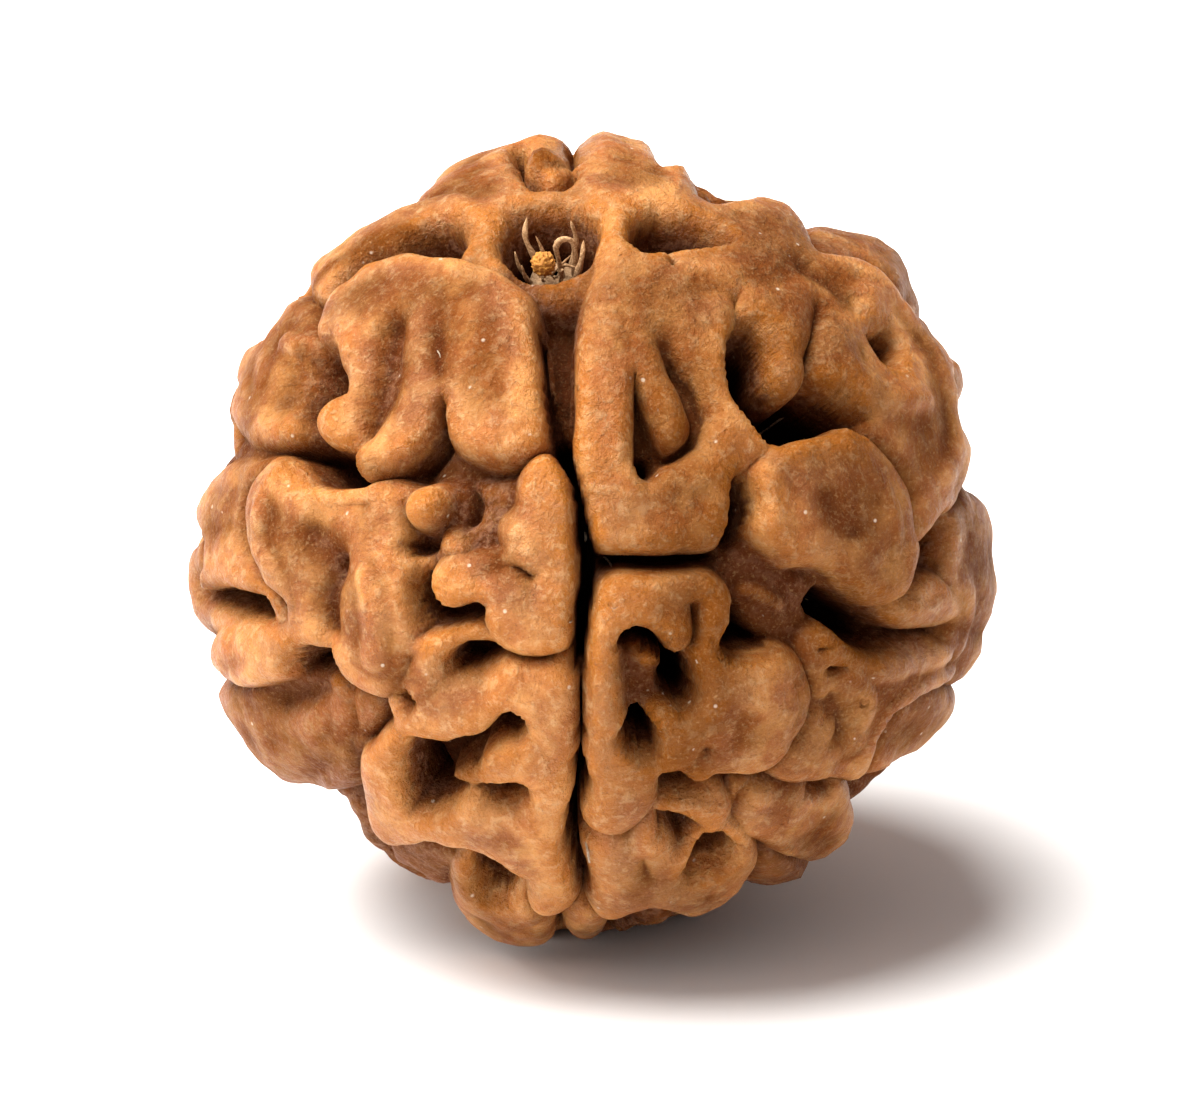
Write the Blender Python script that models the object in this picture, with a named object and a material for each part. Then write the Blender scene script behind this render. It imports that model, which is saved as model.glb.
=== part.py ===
"""A rudraksha bead: the rough, deeply lobed seed stone, with the dry pith that curls in its top hole.

The stone is one closed surface. Every direction from its centre has one height, worked out from named
shapes. An outline raises a broad plate or cuts a basin. A stroke is a path with a half-width at each
point: it raises a rounded lobe, changes the height gently, or cuts a pit. Those of the front are placed
by where they lie in the photograph, as (x, y) or (x, y, half-width) in its 1200 x 1100 pixels, and are
carried onto the sphere through the photograph's own line of sight. The hidden side has turned copies of
them, and seeded lobes and pits between these.
"""

import math

import bmesh
import bpy
import numpy as np

# Real sizes, in metres: the bead over its lobes, its middle over the floor, and its hole
BEAD_RADIUS = 0.01215
REST_HEIGHT = 0.01205
HOLE_DEPTH = 0.0034
HOLE_RADIUS = 0.00172

# The same sizes in millimetres, the unit of every height below
MM = 0.001
LOBE_RADIUS = BEAD_RADIUS / MM

# The ground between the lobes, in front and on the hidden side, with slow waves as (height, length)
GROUND = -1.6
HIDDEN_GROUND = -1.4
GROUND_WAVES = (0.10, 3.4)

# How far every outline wavers, and over what length
WAVER = (0.08, 2.2)

# The rounded edges of lobes and plates, measured inward, and how far these reach past their outlines
LOBE_EDGE = 1.35
PLATE_EDGE = 0.7
LOBE_LIP = 0.18
PLATE_LIP = 0.38
LOBE_FOOT = -1.9

# How much lobes and plates swell in their middles
LOBE_CROWN = 0.12
PLATE_CROWN = 0.10
PLATE_CROWN_LENGTH = 1.2

# The fillets where raised shapes meet what is under them, and the rounded rims of hollows
CREASE = 0.30
PLATE_CREASE = 0.12
PIT_LIP = 0.30
HOLE_LIP = 0.15

# Hollows: the share by which floors are deepened, the height of their rims, and the walls of basins
PIT_DEPTH = 1.35
PIT_RIM = 0.25
BASIN_RIM = 0.30
BASIN_LIP = 0.12
BASIN_WALL = 1.0
BOWL_MOST = 1.6

# How far a gentle swell or dip is felt, and the spare margin round other shapes
DENT_REACH = 1.6
SPARE = 0.6

# The heights at which the photograph sees low shapes and the rims of hollows
LOWEST_CAST = -0.6
HOLLOW_RIM = 0.2

# How the lobes swell over their pits, from a height upward, and how the whole surface is smoothed
SWELL = 0.20
SWELL_FROM = -2.0
RELAX_ROUNDS = 2

# Small unevenness all over, as (height, length, seed)
UNDULATIONS = ((0.09, 2.2, 6), (0.07, 1.1, 7), (0.035, 0.6, 8))

# The limb: how far round the silhouette is felt, in how many sectors, and the most that shows past it
LIMB_PULL = 0.42
LIMB_STEPS = 120
LIMB_MOST = 0.985
LIMB_SOFT = 0.04

# The photograph: how many pixels make a millimetre, where the centre is, and the line of sight
PHOTO_SCALE = 32.4
PHOTO_CENTRE = (593.0, 539.0)
EYE_DISTANCE = 500.0
EYE_ELEVATION = math.radians(20.0)

# Directions round the stone
GRID = 84
STONE_TRIANGLES = 11600
SEED = 108

# Plates: broad raised parts, as name, height above the lobe radius in mm, and the outline in pixels
PLATES = (
    ("hole collar", -0.42, ((494, 204), (520, 196), (560, 194), (596, 200), (610, 220), (614, 250),
        (610, 276), (592, 296), (560, 302), (528, 298), (500, 284), (488, 262), (486, 230))),
    ("field below the panel", -0.85, ((728, 545), (756, 534), (790, 548), (806, 560), (826, 576),
        (820, 596), (812, 616), (816, 642), (800, 652), (770, 650), (758, 640), (742, 616), (730, 590),
        (700, 566))),
    ("shelf under the tab", -1.20, ((300, 470), (312, 448), (332, 446), (352, 476), (374, 480), (402, 462),
        (430, 452), (450, 454), (448, 480), (420, 482), (398, 488), (366, 484), (330, 490), (308, 480))),
    ("shelf under the thumb", -1.05, ((440, 452), (470, 454), (500, 458), (524, 462), (526, 486),
        (500, 492), (470, 490), (446, 480))),
    ("lobe d", -0.35, ((214, 664), (240, 680), (262, 682), (284, 678), (300, 676), (332, 676), (347, 686),
        (356, 704), (358, 728), (354, 748), (352, 768), (352, 786), (342, 796), (328, 794), (314, 788),
        (296, 785), (280, 780), (262, 766), (246, 748), (232, 726), (220, 706), (215, 688))),
    ("strip e", -0.30, ((352, 700), (356, 690), (380, 696), (388, 714), (392, 734), (378, 740), (364, 754),
        (354, 764), (352, 745), (358, 725))),
    ("left limb lobe", 0.02, ((302, 288), (286, 306), (275, 322), (264, 336), (246, 348), (238, 366),
        (235, 386), (230, 402), (228, 416), (236, 432), (252, 441), (272, 438), (290, 432), (306, 422),
        (316, 406), (336, 400), (348, 390), (344, 374), (326, 358), (318, 345), (314, 320), (314, 300))),
    ("left foot", -0.40, ((234, 434), (250, 438), (264, 446), (270, 458), (262, 466), (244, 468),
        (231, 460), (230, 446))),
    ("lobe a", 0.02, ((234, 460), (217, 468), (205, 486), (197, 505), (198, 526), (208, 545), (210, 562),
        (206, 578), (222, 588), (240, 596), (257, 604), (265, 614), (269, 628), (282, 630), (290, 616),
        (284, 600), (264, 584), (250, 568), (242, 548), (240, 515), (244, 492), (256, 474), (266, 460),
        (250, 464))),
    ("lobe a outer", -0.02, ((198, 528), (207, 546), (208, 564), (205, 582), (207, 598), (218, 612),
        (236, 620), (260, 620), (268, 632), (250, 640), (226, 641), (212, 632), (198, 620), (189, 604),
        (187, 580), (190, 550))),
    ("lobe c", 0.30, ((208, 652), (212, 641), (224, 633), (246, 631), (268, 630), (284, 638), (293, 652),
        (288, 668), (272, 678), (250, 682), (231, 678), (214, 668))),
    ("shoulder", 0.06, ((408, 206), (428, 187), (441, 171), (460, 160), (480, 152), (500, 146), (520, 139),
        (535, 133), (548, 132), (560, 135), (569, 146), (571, 162), (582, 176), (602, 184), (600, 208),
        (575, 206), (550, 202), (522, 204), (502, 208), (494, 226), (480, 216), (460, 206), (440, 204),
        (420, 206))),
    ("saddle left of hole", -0.05, ((466, 214), (484, 208), (497, 220), (500, 244), (506, 266), (498, 274),
        (474, 264), (456, 258), (450, 244), (456, 228))),
    ("ridge upper left", 0.24, ((306, 282), (309, 268), (322, 254), (340, 243), (360, 227), (380, 216),
        (400, 206), (422, 198), (445, 192), (464, 194), (482, 204), (490, 218), (480, 226), (464, 214),
        (446, 211), (428, 217), (412, 227), (398, 240), (380, 250), (362, 261), (346, 272), (332, 284),
        (320, 294), (308, 291))),
    ("far right top", -0.20, ((806, 236), (812, 226), (822, 222), (836, 230), (860, 232), (880, 238),
        (897, 250), (908, 268), (914, 288), (917, 301), (924, 312), (920, 324), (905, 318), (890, 306),
        (874, 288), (856, 270), (834, 262), (816, 256))),
    ("far right middle", -0.15, ((938, 345), (950, 344), (958, 354), (964, 372), (964, 390), (956, 406),
        (946, 388))),
    ("slope n", -0.02, ((815, 640), (811, 670), (814, 700), (809, 724), (800, 744), (790, 760), (778, 776),
        (800, 787), (832, 780), (866, 778), (878, 745), (890, 716), (905, 701), (926, 690), (946, 684),
        (962, 676), (968, 660), (955, 648), (930, 646), (900, 654), (880, 656), (858, 650), (842, 640),
        (828, 632))),
    ("far lobe o", -0.10, ((880, 750), (886, 728), (902, 704), (922, 692), (945, 688), (957, 694),
        (953, 716), (946, 727), (930, 735), (922, 750), (905, 760), (885, 772), (868, 779))),
    ("far lobe i", 0.02, ((966, 486), (976, 490), (985, 500), (991, 515), (994, 535), (992, 555),
        (996, 575), (999, 590), (997, 606), (990, 622), (982, 634), (982, 655), (976, 668), (964, 675),
        (950, 662), (946, 640), (952, 620), (948, 600), (944, 580), (948, 555), (952, 530), (950, 512))),
    ("hooked arm", 0.10, ((884, 598), (896, 600), (908, 597), (918, 590), (928, 582), (941, 580),
        (953, 592), (960, 606), (956, 618), (942, 624), (922, 624), (904, 618), (892, 608))),
    ("lobe t", -0.02, ((742, 792), (770, 792), (800, 790), (830, 784), (846, 790), (854, 804), (857, 820),
        (851, 838), (836, 850), (822, 858), (800, 858), (780, 850), (760, 842), (746, 836), (740, 815))),
    ("lobe u", -0.40, ((750, 842), (775, 848), (800, 856), (822, 858), (814, 872), (796, 882), (776, 886),
        (754, 884), (750, 864))),
    ("brown lobe", -0.40, ((370, 842), (400, 848), (420, 846), (446, 852), (464, 858), (463, 876),
        (452, 888), (438, 884), (415, 872), (394, 862))),
    ("bottom lobe q", 0.20, ((450, 892), (458, 872), (474, 860), (492, 864), (512, 876), (522, 890),
        (532, 906), (542, 918), (553, 926), (552, 937), (540, 946), (520, 949), (500, 944), (482, 932),
        (466, 923), (455, 908))),
    ("bottom knob", 0.10, ((566, 926), (570, 912), (582, 907), (595, 913), (599, 926), (592, 937),
        (578, 939), (568, 934))),
    ("lobe r", 0.28, ((590, 852), (604, 842), (630, 838), (646, 822), (658, 824), (664, 840), (674, 858),
        (690, 858), (700, 840), (714, 830), (730, 828), (742, 836), (749, 848), (756, 866), (751, 882),
        (739, 895), (721, 908), (700, 916), (682, 917), (668, 910), (652, 906), (632, 911), (618, 918),
        (604, 920), (592, 908), (597, 890), (596, 870))),
    ("small finger", 0.10, ((652, 806), (662, 797), (680, 796), (700, 794), (718, 799), (731, 807),
        (732, 818), (722, 827), (706, 831), (690, 829), (678, 822), (666, 818), (654, 816))),
    ("right plateau", 0.26, ((578, 176), (570, 160), (577, 146), (586, 136), (600, 130), (616, 131),
        (632, 140), (646, 141), (656, 150), (663, 162), (684, 163), (696, 174), (704, 189), (722, 195),
        (745, 196), (760, 193), (775, 198), (789, 202), (798, 212), (808, 224), (814, 240), (822, 252),
        (836, 258), (850, 262), (866, 274), (882, 290), (894, 304), (906, 313), (921, 323), (936, 342),
        (945, 360), (950, 382), (958, 402), (963, 428), (971, 452), (969, 480), (962, 500), (950, 509),
        (944, 520), (932, 532), (922, 538), (914, 524), (915, 504), (908, 480), (900, 464), (888, 446),
        (872, 420), (856, 405), (838, 392), (822, 379), (816, 360), (812, 340), (808, 352), (806, 372),
        (796, 391), (780, 393), (770, 380), (767, 362), (758, 344), (746, 334), (736, 330), (733, 352),
        (736, 386), (742, 402), (756, 420), (772, 438), (782, 450), (764, 456), (748, 462), (738, 474),
        (732, 488), (733, 508), (728, 526), (717, 541), (700, 547), (684, 542), (668, 547), (645, 550),
        (618, 552), (602, 545), (592, 525), (585, 495), (581, 460), (579, 420), (581, 370), (584, 330),
        (586, 304), (594, 286), (603, 270), (602, 244), (594, 214), (588, 196))),
    ("plate upper left", 0.28, ((314, 322), (320, 302), (331, 290), (345, 276), (364, 262), (384, 256),
        (404, 250), (440, 252), (474, 260), (500, 274), (520, 287), (528, 310), (533, 340), (538, 368),
        (540, 395), (542, 420), (537, 441), (521, 452), (500, 455), (478, 452), (462, 446), (450, 432),
        (444, 410), (438, 398), (428, 416), (414, 438), (402, 454), (386, 464), (372, 476), (360, 479),
        (350, 473), (347, 460), (354, 448), (340, 443), (324, 438), (313, 425), (311, 411), (320, 403),
        (335, 400), (345, 390), (344, 378), (334, 366), (322, 354), (316, 342))),
    ("knob side", -0.75, ((438, 480), (462, 480), (480, 498), (478, 526), (460, 540), (438, 534))),
    ("pale field by finger", -0.42, ((474, 484), (500, 484), (524, 480), (526, 504), (518, 522), (504, 532),
        (498, 550), (480, 560), (466, 544), (470, 508))),
    ("pale bump", -0.30, ((428, 548), (438, 535), (452, 532), (465, 540), (474, 552), (466, 564),
        (445, 568), (430, 562))),
    ("plate b and lobe f", 0.24, ((266, 460), (279, 455), (289, 462), (293, 474), (303, 486), (320, 490),
        (345, 486), (366, 483), (388, 485), (402, 492), (398, 520), (400, 546), (420, 556), (418, 580),
        (412, 600), (414, 626), (410, 650), (404, 672), (398, 690), (380, 698), (366, 692), (350, 684),
        (338, 672), (328, 656), (318, 648), (300, 649), (285, 642), (273, 631), (283, 626), (290, 614),
        (286, 602), (275, 590), (262, 580), (250, 566), (242, 548), (240, 520), (243, 494), (254, 476))),
    ("bench, column and ring", 0.30, ((402, 676), (410, 656), (428, 641), (452, 632), (472, 630),
        (486, 642), (500, 656), (525, 662), (558, 660), (571, 672), (573, 710), (574, 750), (571, 790),
        (564, 815), (560, 840), (566, 860), (573, 880), (572, 900), (564, 914), (550, 919), (536, 913),
        (530, 898), (532, 884), (520, 878), (500, 868), (480, 858), (460, 852), (440, 847), (420, 845),
        (405, 850), (388, 850), (372, 842), (362, 824), (358, 800), (356, 775), (362, 756), (376, 742),
        (392, 734), (388, 716), (384, 702))),
    ("finger, arm and round lobe", 0.42, ((523, 492), (526, 472), (536, 460), (548, 458), (558, 466),
        (566, 482), (573, 500), (577, 520), (576, 545), (572, 565), (569, 590), (571, 615), (568, 635),
        (558, 650), (540, 656), (518, 655), (500, 646), (490, 632), (484, 618), (482, 605), (462, 604),
        (446, 610), (434, 606), (428, 595), (428, 580), (436, 568), (450, 562), (466, 562), (480, 560),
        (496, 556), (504, 548), (500, 536), (502, 524), (514, 516), (523, 506))),
    ("frame and lobe m", 0.36, ((600, 602), (607, 590), (622, 582), (645, 579), (668, 576), (692, 576),
        (712, 581), (726, 594), (735, 610), (733, 624), (726, 636), (722, 648), (730, 658), (746, 661),
        (760, 656), (776, 654), (790, 660), (802, 668), (809, 685), (813, 702), (808, 722), (800, 738),
        (790, 752), (780, 766), (768, 773), (752, 779), (738, 777), (720, 778), (708, 786), (696, 788),
        (687, 782), (684, 774), (672, 776), (659, 777), (657, 800), (648, 818), (636, 832), (622, 841),
        (606, 841), (592, 832), (585, 818), (587, 800), (588, 780), (588, 740), (590, 700), (593, 660),
        (597, 625))),
    ("lump g", 0.48, ((784, 446), (800, 440), (820, 438), (835, 430), (848, 424), (862, 426), (875, 436),
        (888, 452), (900, 468), (912, 486), (917, 510), (919, 530), (924, 545), (920, 565), (915, 582),
        (911, 594), (900, 601), (885, 601), (872, 592), (860, 580), (845, 566), (830, 558), (815, 558),
        (800, 560), (788, 550), (774, 540), (763, 525), (759, 505), (757, 485), (762, 468), (772, 456))),
)

# Hollows with an outline: name, height of the floor in mm, and the outline in pixels
BASINS = (
    ("groove mouth floor", -0.55, ((530, 288), (546, 298), (562, 300), (580, 294), (590, 286), (585, 320),
        (581, 360), (579, 400), (578, 440), (574, 470), (562, 466), (549, 444), (543, 410), (539, 370),
        (534, 330))),
    ("under the amber knob", -1.00, ((400, 542), (410, 546), (424, 546), (434, 541), (428, 552), (416, 558),
        (404, 555))),
    ("valley under the upper left ridge", -1.90, ((330, 284), (350, 264), (372, 248), (390, 240),
        (408, 230), (426, 220), (444, 216), (458, 220), (463, 234), (452, 249), (436, 254), (420, 250),
        (404, 247), (384, 253), (362, 264), (342, 282))),
    ("panel hollow left", -0.95, ((635, 374), (643, 386), (651, 403), (659, 424), (667, 444), (671, 458),
        (662, 474), (650, 482), (638, 478), (633, 460), (632, 430), (632, 400))),
    ("side of the amber knob", -0.95, ((458, 482), (470, 488), (478, 502), (474, 520), (464, 530),
        (456, 532), (458, 518), (462, 502))),
    ("slot by lobe a", -2.40, ((204, 592), (222, 589), (240, 597), (257, 604), (264, 614), (264, 623),
        (250, 623), (234, 618), (215, 607))),
    ("pit right of lobe c", -2.50, ((290, 650), (312, 650), (326, 655), (334, 668), (330, 680), (312, 682),
        (296, 680), (284, 676))),
    ("slot over plate b", -2.00, ((264, 450), (276, 442), (300, 438), (322, 444), (344, 448), (350, 462),
        (356, 476), (368, 484), (345, 486), (320, 488), (303, 484), (294, 472), (284, 458), (274, 454))),
    ("right top pit", -2.40, ((628, 240), (630, 224), (640, 212), (656, 208), (678, 212), (700, 218),
        (718, 227), (731, 240), (712, 243), (690, 245), (662, 248), (642, 248))),
    ("deep pit l", -3.20, ((732, 330), (742, 318), (756, 322), (766, 340), (770, 360), (773, 380),
        (782, 396), (795, 395), (806, 385), (814, 378), (824, 384), (838, 394), (856, 405), (872, 420),
        (862, 430), (846, 422), (832, 430), (802, 438), (785, 446), (770, 438), (755, 421), (741, 403),
        (735, 384), (731, 358))),
    ("oval pit", -2.30, ((867, 341), (875, 330), (889, 328), (898, 340), (899, 355), (897, 367), (885, 362),
        (876, 352))),
    ("slit", -2.80, ((737, 478), (746, 470), (753, 482), (758, 500), (757, 520), (752, 536), (740, 546),
        (728, 540), (735, 520), (734, 500))),
    ("far hollow", -2.50, ((950, 512), (950, 532), (940, 548), (934, 566), (930, 578), (916, 582),
        (920, 562), (926, 545), (936, 530))),
    ("pit k", -3.00, ((826, 610), (832, 598), (846, 592), (860, 596), (872, 608), (886, 618), (898, 628),
        (904, 640), (898, 652), (884, 658), (868, 654), (854, 644), (842, 634), (832, 624))),
    ("pit under arm", -3.00, ((417, 572), (425, 585), (428, 600), (440, 611), (452, 611), (466, 605),
        (478, 605), (482, 616), (472, 624), (460, 630), (445, 636), (430, 630), (419, 622), (413, 604))),
    ("bench pit", -2.40, ((446, 663), (449, 652), (462, 647), (480, 647), (495, 651), (496, 661),
        (482, 666), (466, 672), (453, 673))),
    ("ring and arch pit", -2.90, ((402, 752), (410, 742), (430, 744), (447, 748), (462, 741), (482, 740),
        (492, 728), (500, 718), (510, 715), (520, 721), (524, 734), (514, 743), (494, 746), (482, 756),
        (478, 770), (470, 782), (464, 800), (456, 808), (442, 815), (428, 818), (410, 814), (402, 800),
        (399, 775))),
    ("under finger", -1.30, ((478, 786), (498, 785), (520, 786), (528, 792), (530, 803), (515, 810),
        (498, 812), (484, 806), (474, 796))),
    ("bottom pit", -2.70, ((466, 874), (470, 862), (484, 860), (500, 867), (514, 878), (517, 892),
        (506, 902), (488, 901), (474, 892))),
    ("black pit", -2.90, ((723, 648), (728, 636), (735, 622), (736, 606), (745, 606), (752, 622),
        (764, 640), (780, 648), (776, 654), (760, 656), (746, 661), (731, 659))),
    ("crescent pit", -2.60, ((619, 648), (624, 636), (636, 630), (650, 634), (661, 644), (669, 656),
        (672, 664), (662, 660), (648, 650), (636, 646), (628, 650))),
    ("frame hollow", -0.55, ((618, 650), (622, 644), (636, 652), (652, 664), (668, 664), (676, 652),
        (688, 644), (696, 652), (701, 672), (701, 694), (696, 712), (684, 718), (668, 714), (652, 714),
        (640, 718), (626, 722), (618, 710), (616, 690), (615, 665))),
    ("black slot", -3.60, ((673, 664), (683, 660), (694, 665), (698, 680), (699, 698), (692, 710),
        (681, 712), (671, 704), (668, 690))),
    ("curl pit", -2.80, ((622, 737), (629, 723), (642, 719), (653, 730), (657, 745), (654, 758), (642, 758),
        (630, 752))),
    ("pit under small finger", -2.80, ((660, 822), (672, 818), (685, 824), (696, 832), (703, 838),
        (694, 848), (682, 856), (672, 856), (664, 845))),
    ("arch hollow", -2.80, ((698, 850), (708, 838), (722, 836), (735, 840), (740, 852), (732, 862),
        (720, 869), (706, 874), (692, 880), (687, 874))),
    ("under the frame post", -2.20, ((660, 779), (672, 777), (684, 778), (690, 786), (704, 792), (688, 796),
        (670, 796), (660, 796))),
)

# Narrow lobes and ridges: name, height above the lobe radius in mm, then (x, y, half-width) in pixels
LOBES = (
    ("slope n fold", 0.12, ((826, 690, 9), (840, 712, 10), (836, 738, 9))),
    ("slope n second fold", 0.14, ((858, 678, 9), (874, 700, 9), (866, 730, 8))),
    ("lump g shoulder", 0.42, ((772, 474, 12), (769, 502, 12), (778, 526, 11))),
    ("lump g crest", 0.62, ((846, 442, 13), (866, 460, 15), (884, 486, 14), (896, 516, 12),
        (902, 548, 11))),
    ("lobe three crest", 0.36, ((838, 352, 10), (862, 380, 12), (894, 398, 12), (926, 404, 12))),
    ("lobe f", 0.46, ((360, 572, 12), (368, 596, 22), (372, 630, 27), (372, 660, 22))),
    ("plate b rim", 0.40, ((276, 468, 9), (260, 490, 10), (252, 520, 11), (254, 548, 10), (272, 572, 9))),
    ("plate b top", 0.34, ((300, 492, 7), (335, 494, 10), (370, 492, 12), (392, 500, 12))),
    ("left limb bump", 0.22, ((283, 338, 16), (296, 344, 14))),
    ("crescent", 0.22, ((384, 566, 9), (400, 556, 9), (418, 562, 8))),
    ("thin ridge low", 0.08, ((206, 584, 7), (238, 594, 7), (264, 608, 7), (268, 628, 8))),
    ("thin ridge high", 0.34, ((244, 564, 6), (272, 583, 7), (286, 602, 8), (288, 622, 9))),
    ("far right bead", 0.05, ((912, 312, 11),)),
    ("far right dot", 0.05, ((966, 446, 8),)),
    ("hooked arm crest", 0.20, ((908, 606, 7), (930, 612, 8), (948, 602, 8), (942, 588, 7))),
    ("far shelf", 0.02, ((962, 590, 14), (964, 624, 14), (954, 652, 14))),
    ("ridge l", -0.45, ((744, 588, 7), (764, 596, 9), (784, 606, 8))),
    ("lobe m lip", 0.40, ((803, 672, 6), (808, 698, 6), (800, 726, 6), (784, 754, 6))),
    ("slope n upper", 0.08, ((880, 672, 20), (922, 664, 18), (948, 654, 14))),
    ("slope n edge", 0.20, ((956, 674, 8), (922, 690, 8), (896, 712, 8), (880, 744, 8), (866, 768, 8))),
    ("slope n sill", 0.08, ((790, 778, 9), (826, 776, 10), (858, 772, 9))),
    ("lobe t swell", 0.00, ((790, 820, 16),)),
)

# Gentle swells and dips: name, change of height in mm, then (x, y, half-width) in pixels
DENTS = (
    ("crease of lobe a", -0.40, ((244, 486, 7), (238, 516, 7), (242, 548, 8), (262, 578, 8))),
    ("hollow right of the tongue", -0.90, ((668, 350, 20), (688, 386, 24), (700, 412, 20))),
    ("hollow beside the plate", -1.9, ((320, 356, 20), (316, 380, 26), (302, 402, 20))),
    ("left limb field", -0.45, ((292, 372, 24), (276, 400, 18))),
    ("pinkish dent", -0.80, ((392, 326, 18), (388, 362, 26), (376, 400, 22), (362, 432, 14))),
    ("thumb", 0.16, ((488, 310, 30), (494, 350, 38), (498, 395, 38), (502, 420, 34))),
    ("patch by the thumb", -0.30, ((436, 335, 16), (438, 370, 14))),
    ("plate b field", -0.50, ((312, 530, 26), (330, 556, 26))),
    ("plate b brown dip", -0.25, ((335, 506, 12), (362, 504, 11))),
    ("lobe f swell", 0.10, ((372, 612, 24), (374, 645, 22))),
    ("valley by lobe f", -0.65, ((336, 560, 10), (326, 592, 17), (330, 630, 14))),
    ("lobe d dish", -0.50, ((308, 696, 18), (270, 704, 16))),
    ("recess by strip e", -0.60, ((384, 718, 8), (376, 732, 9), (364, 748, 7))),
    ("bench hollow", -0.65, ((452, 668, 12), (474, 672, 13), (494, 668, 10))),
    ("bench field", -0.25, ((440, 684, 16), (480, 690, 16))),
    ("slope under finger", -0.55, ((488, 808, 10), (516, 812, 10))),
    ("arm neck", -0.25, ((484, 572, 10), (500, 566, 10))),
    ("crease bench to column", -0.70, ((498, 658, 6), (520, 663, 6), (552, 662, 6))),
    ("panel inner slope", -0.25, ((676, 372, 12), (694, 404, 10))),
    ("panel trough", -0.35, ((652, 420, 12), (652, 450, 14))),
    ("panel floor", -0.55, ((676, 458, 17), (700, 448, 14))),
    ("panel side furrow", -0.40, ((736, 300, 8), (740, 318, 10), (744, 334, 10))),
    ("furrow by finger two", -0.40, ((818, 306, 10), (814, 330, 9), (812, 354, 10))),
    ("right top dent", -0.55, ((640, 214, 11), (656, 211, 11))),
    ("right crest", 0.16, ((838, 268, 8), (868, 286, 9), (894, 312, 10), (918, 340, 10), (934, 370, 11),
        (946, 404, 11), (954, 440, 12), (946, 480, 12))),
    ("lobe three", 0.18, ((832, 342, 14), (852, 372, 18), (884, 396, 19), (920, 402, 18))),
    ("grey plateau", -0.28, ((806, 270, 16), (836, 296, 17), (858, 316, 12))),
    ("finger two", 0.14, ((788, 300, 16), (788, 340, 16), (790, 368, 15))),
    ("groove by lobe h", -0.45, ((902, 470, 7), (914, 494, 7), (918, 520, 6))),
    ("lump g left furrow", -0.16, ((786, 470, 10), (790, 505, 11), (794, 530, 10))),
    ("lump g face", -0.18, ((822, 500, 20), (850, 530, 18))),
    ("panel low dent", -0.20, ((700, 500, 14),)),
    ("frame lane", -1.10, ((696, 608, 7), (696, 640, 7))),
    ("frame foot furrow", -0.25, ((704, 744, 6), (698, 764, 6))),
    ("lobe m lip furrow", -0.25, ((795, 680, 5), (799, 708, 5), (786, 742, 5))),
    ("lobe m crown", 0.10, ((752, 684, 20), (762, 704, 20))),
    ("slope n dip", -0.40, ((838, 702, 14), (846, 736, 12))),
    ("bottom lobe dip", -0.20, ((640, 858, 8), (650, 876, 8))),
)

# Pits and slots along a line: name, height of the floor in mm, then (x, y, half-width) in pixels
PITS = (
    ("round the tongue's tip", -0.75, ((655, 464, 9), (678, 454, 10), (698, 438, 11), (706, 412, 12),
        (695, 384, 12), (677, 356, 9))),
    ("finger slot", -0.02, ((513, 563, 3), (522, 569, 4), (531, 577, 4))),
    ("under upper left ridge", -0.90, ((362, 262, 5),)),
    ("hollow right of arm", -1.15, ((440, 404, 5), (434, 428, 9), (424, 448, 11), (408, 466, 9))),
    ("side of amber knob", -0.80, ((466, 502, 7), (466, 522, 8))),
    ("under amber knob", -0.70, ((404, 546, 5), (432, 536, 5))),
    ("small pit by bench", -1.20, ((405, 700, 6), (410, 707, 5))),
    ("between thin ridges", -0.55, ((254, 580, 7), (270, 596, 8), (278, 610, 6))),
    ("ring pit core", -3.20, ((446, 802, 11), (434, 798, 10))),
    ("bottom notch", -1.60, ((558, 926, 4), (559, 945, 5))),
    ("groove mouth", -0.80, ((562, 372, 9), (564, 400, 11), (564, 430, 12))),
    ("groove mouth left", -1.50, ((536, 320, 4), (540, 355, 5), (547, 400, 8), (556, 436, 13))),
    ("groove mouth crease", -1.10, ((575, 340, 3), (574, 380, 4), (570, 430, 8))),
    ("groove", -2.60, ((560, 440, 15), (574, 475, 7), (580, 515, 8), (586, 558, 13), (584, 600, 12),
        (580, 640, 10), (578, 672, 7))),
    ("groove middle", -0.62, ((578, 672, 5), (580, 705, 5), (581, 752, 5))),
    ("groove pit", -2.00, ((581, 736, 6),)),
    ("groove low", -2.50, ((580, 764, 7), (580, 792, 9), (570, 820, 9), (568, 846, 8), (577, 872, 9),
        (581, 896, 9))),
    ("cup under top knob", -1.50, ((518, 150, 6), (524, 168, 8), (540, 182, 8), (560, 182, 7),
        (572, 170, 5))),
    ("top notch", -1.40, ((572, 142, 4), (572, 162, 5))),
    ("plateau pore", -1.00, ((674, 262, 4),)),
    ("panel inner pit", -2.20, ((645, 460, 12), (650, 464, 10))),
    ("gap", -1.7, ((604, 562, 10), (650, 564, 10), (696, 562, 10), (722, 558, 8))),
    ("hollow under lump g", -0.60, ((806, 570, 6), (824, 573, 8), (842, 580, 6))),
    ("slope pore", -0.70, ((830, 654, 4),)),
    ("slope pore two", -0.60, ((838, 672, 5), (850, 670, 4))),
    ("pore under lobe m", -0.50, ((709, 750, 3),)),
    ("hollow over lobe t", -1.20, ((820, 796, 8), (838, 796, 8))),
    ("hollow over the side finger", -1.00, ((736, 792, 10),)),
)

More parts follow.
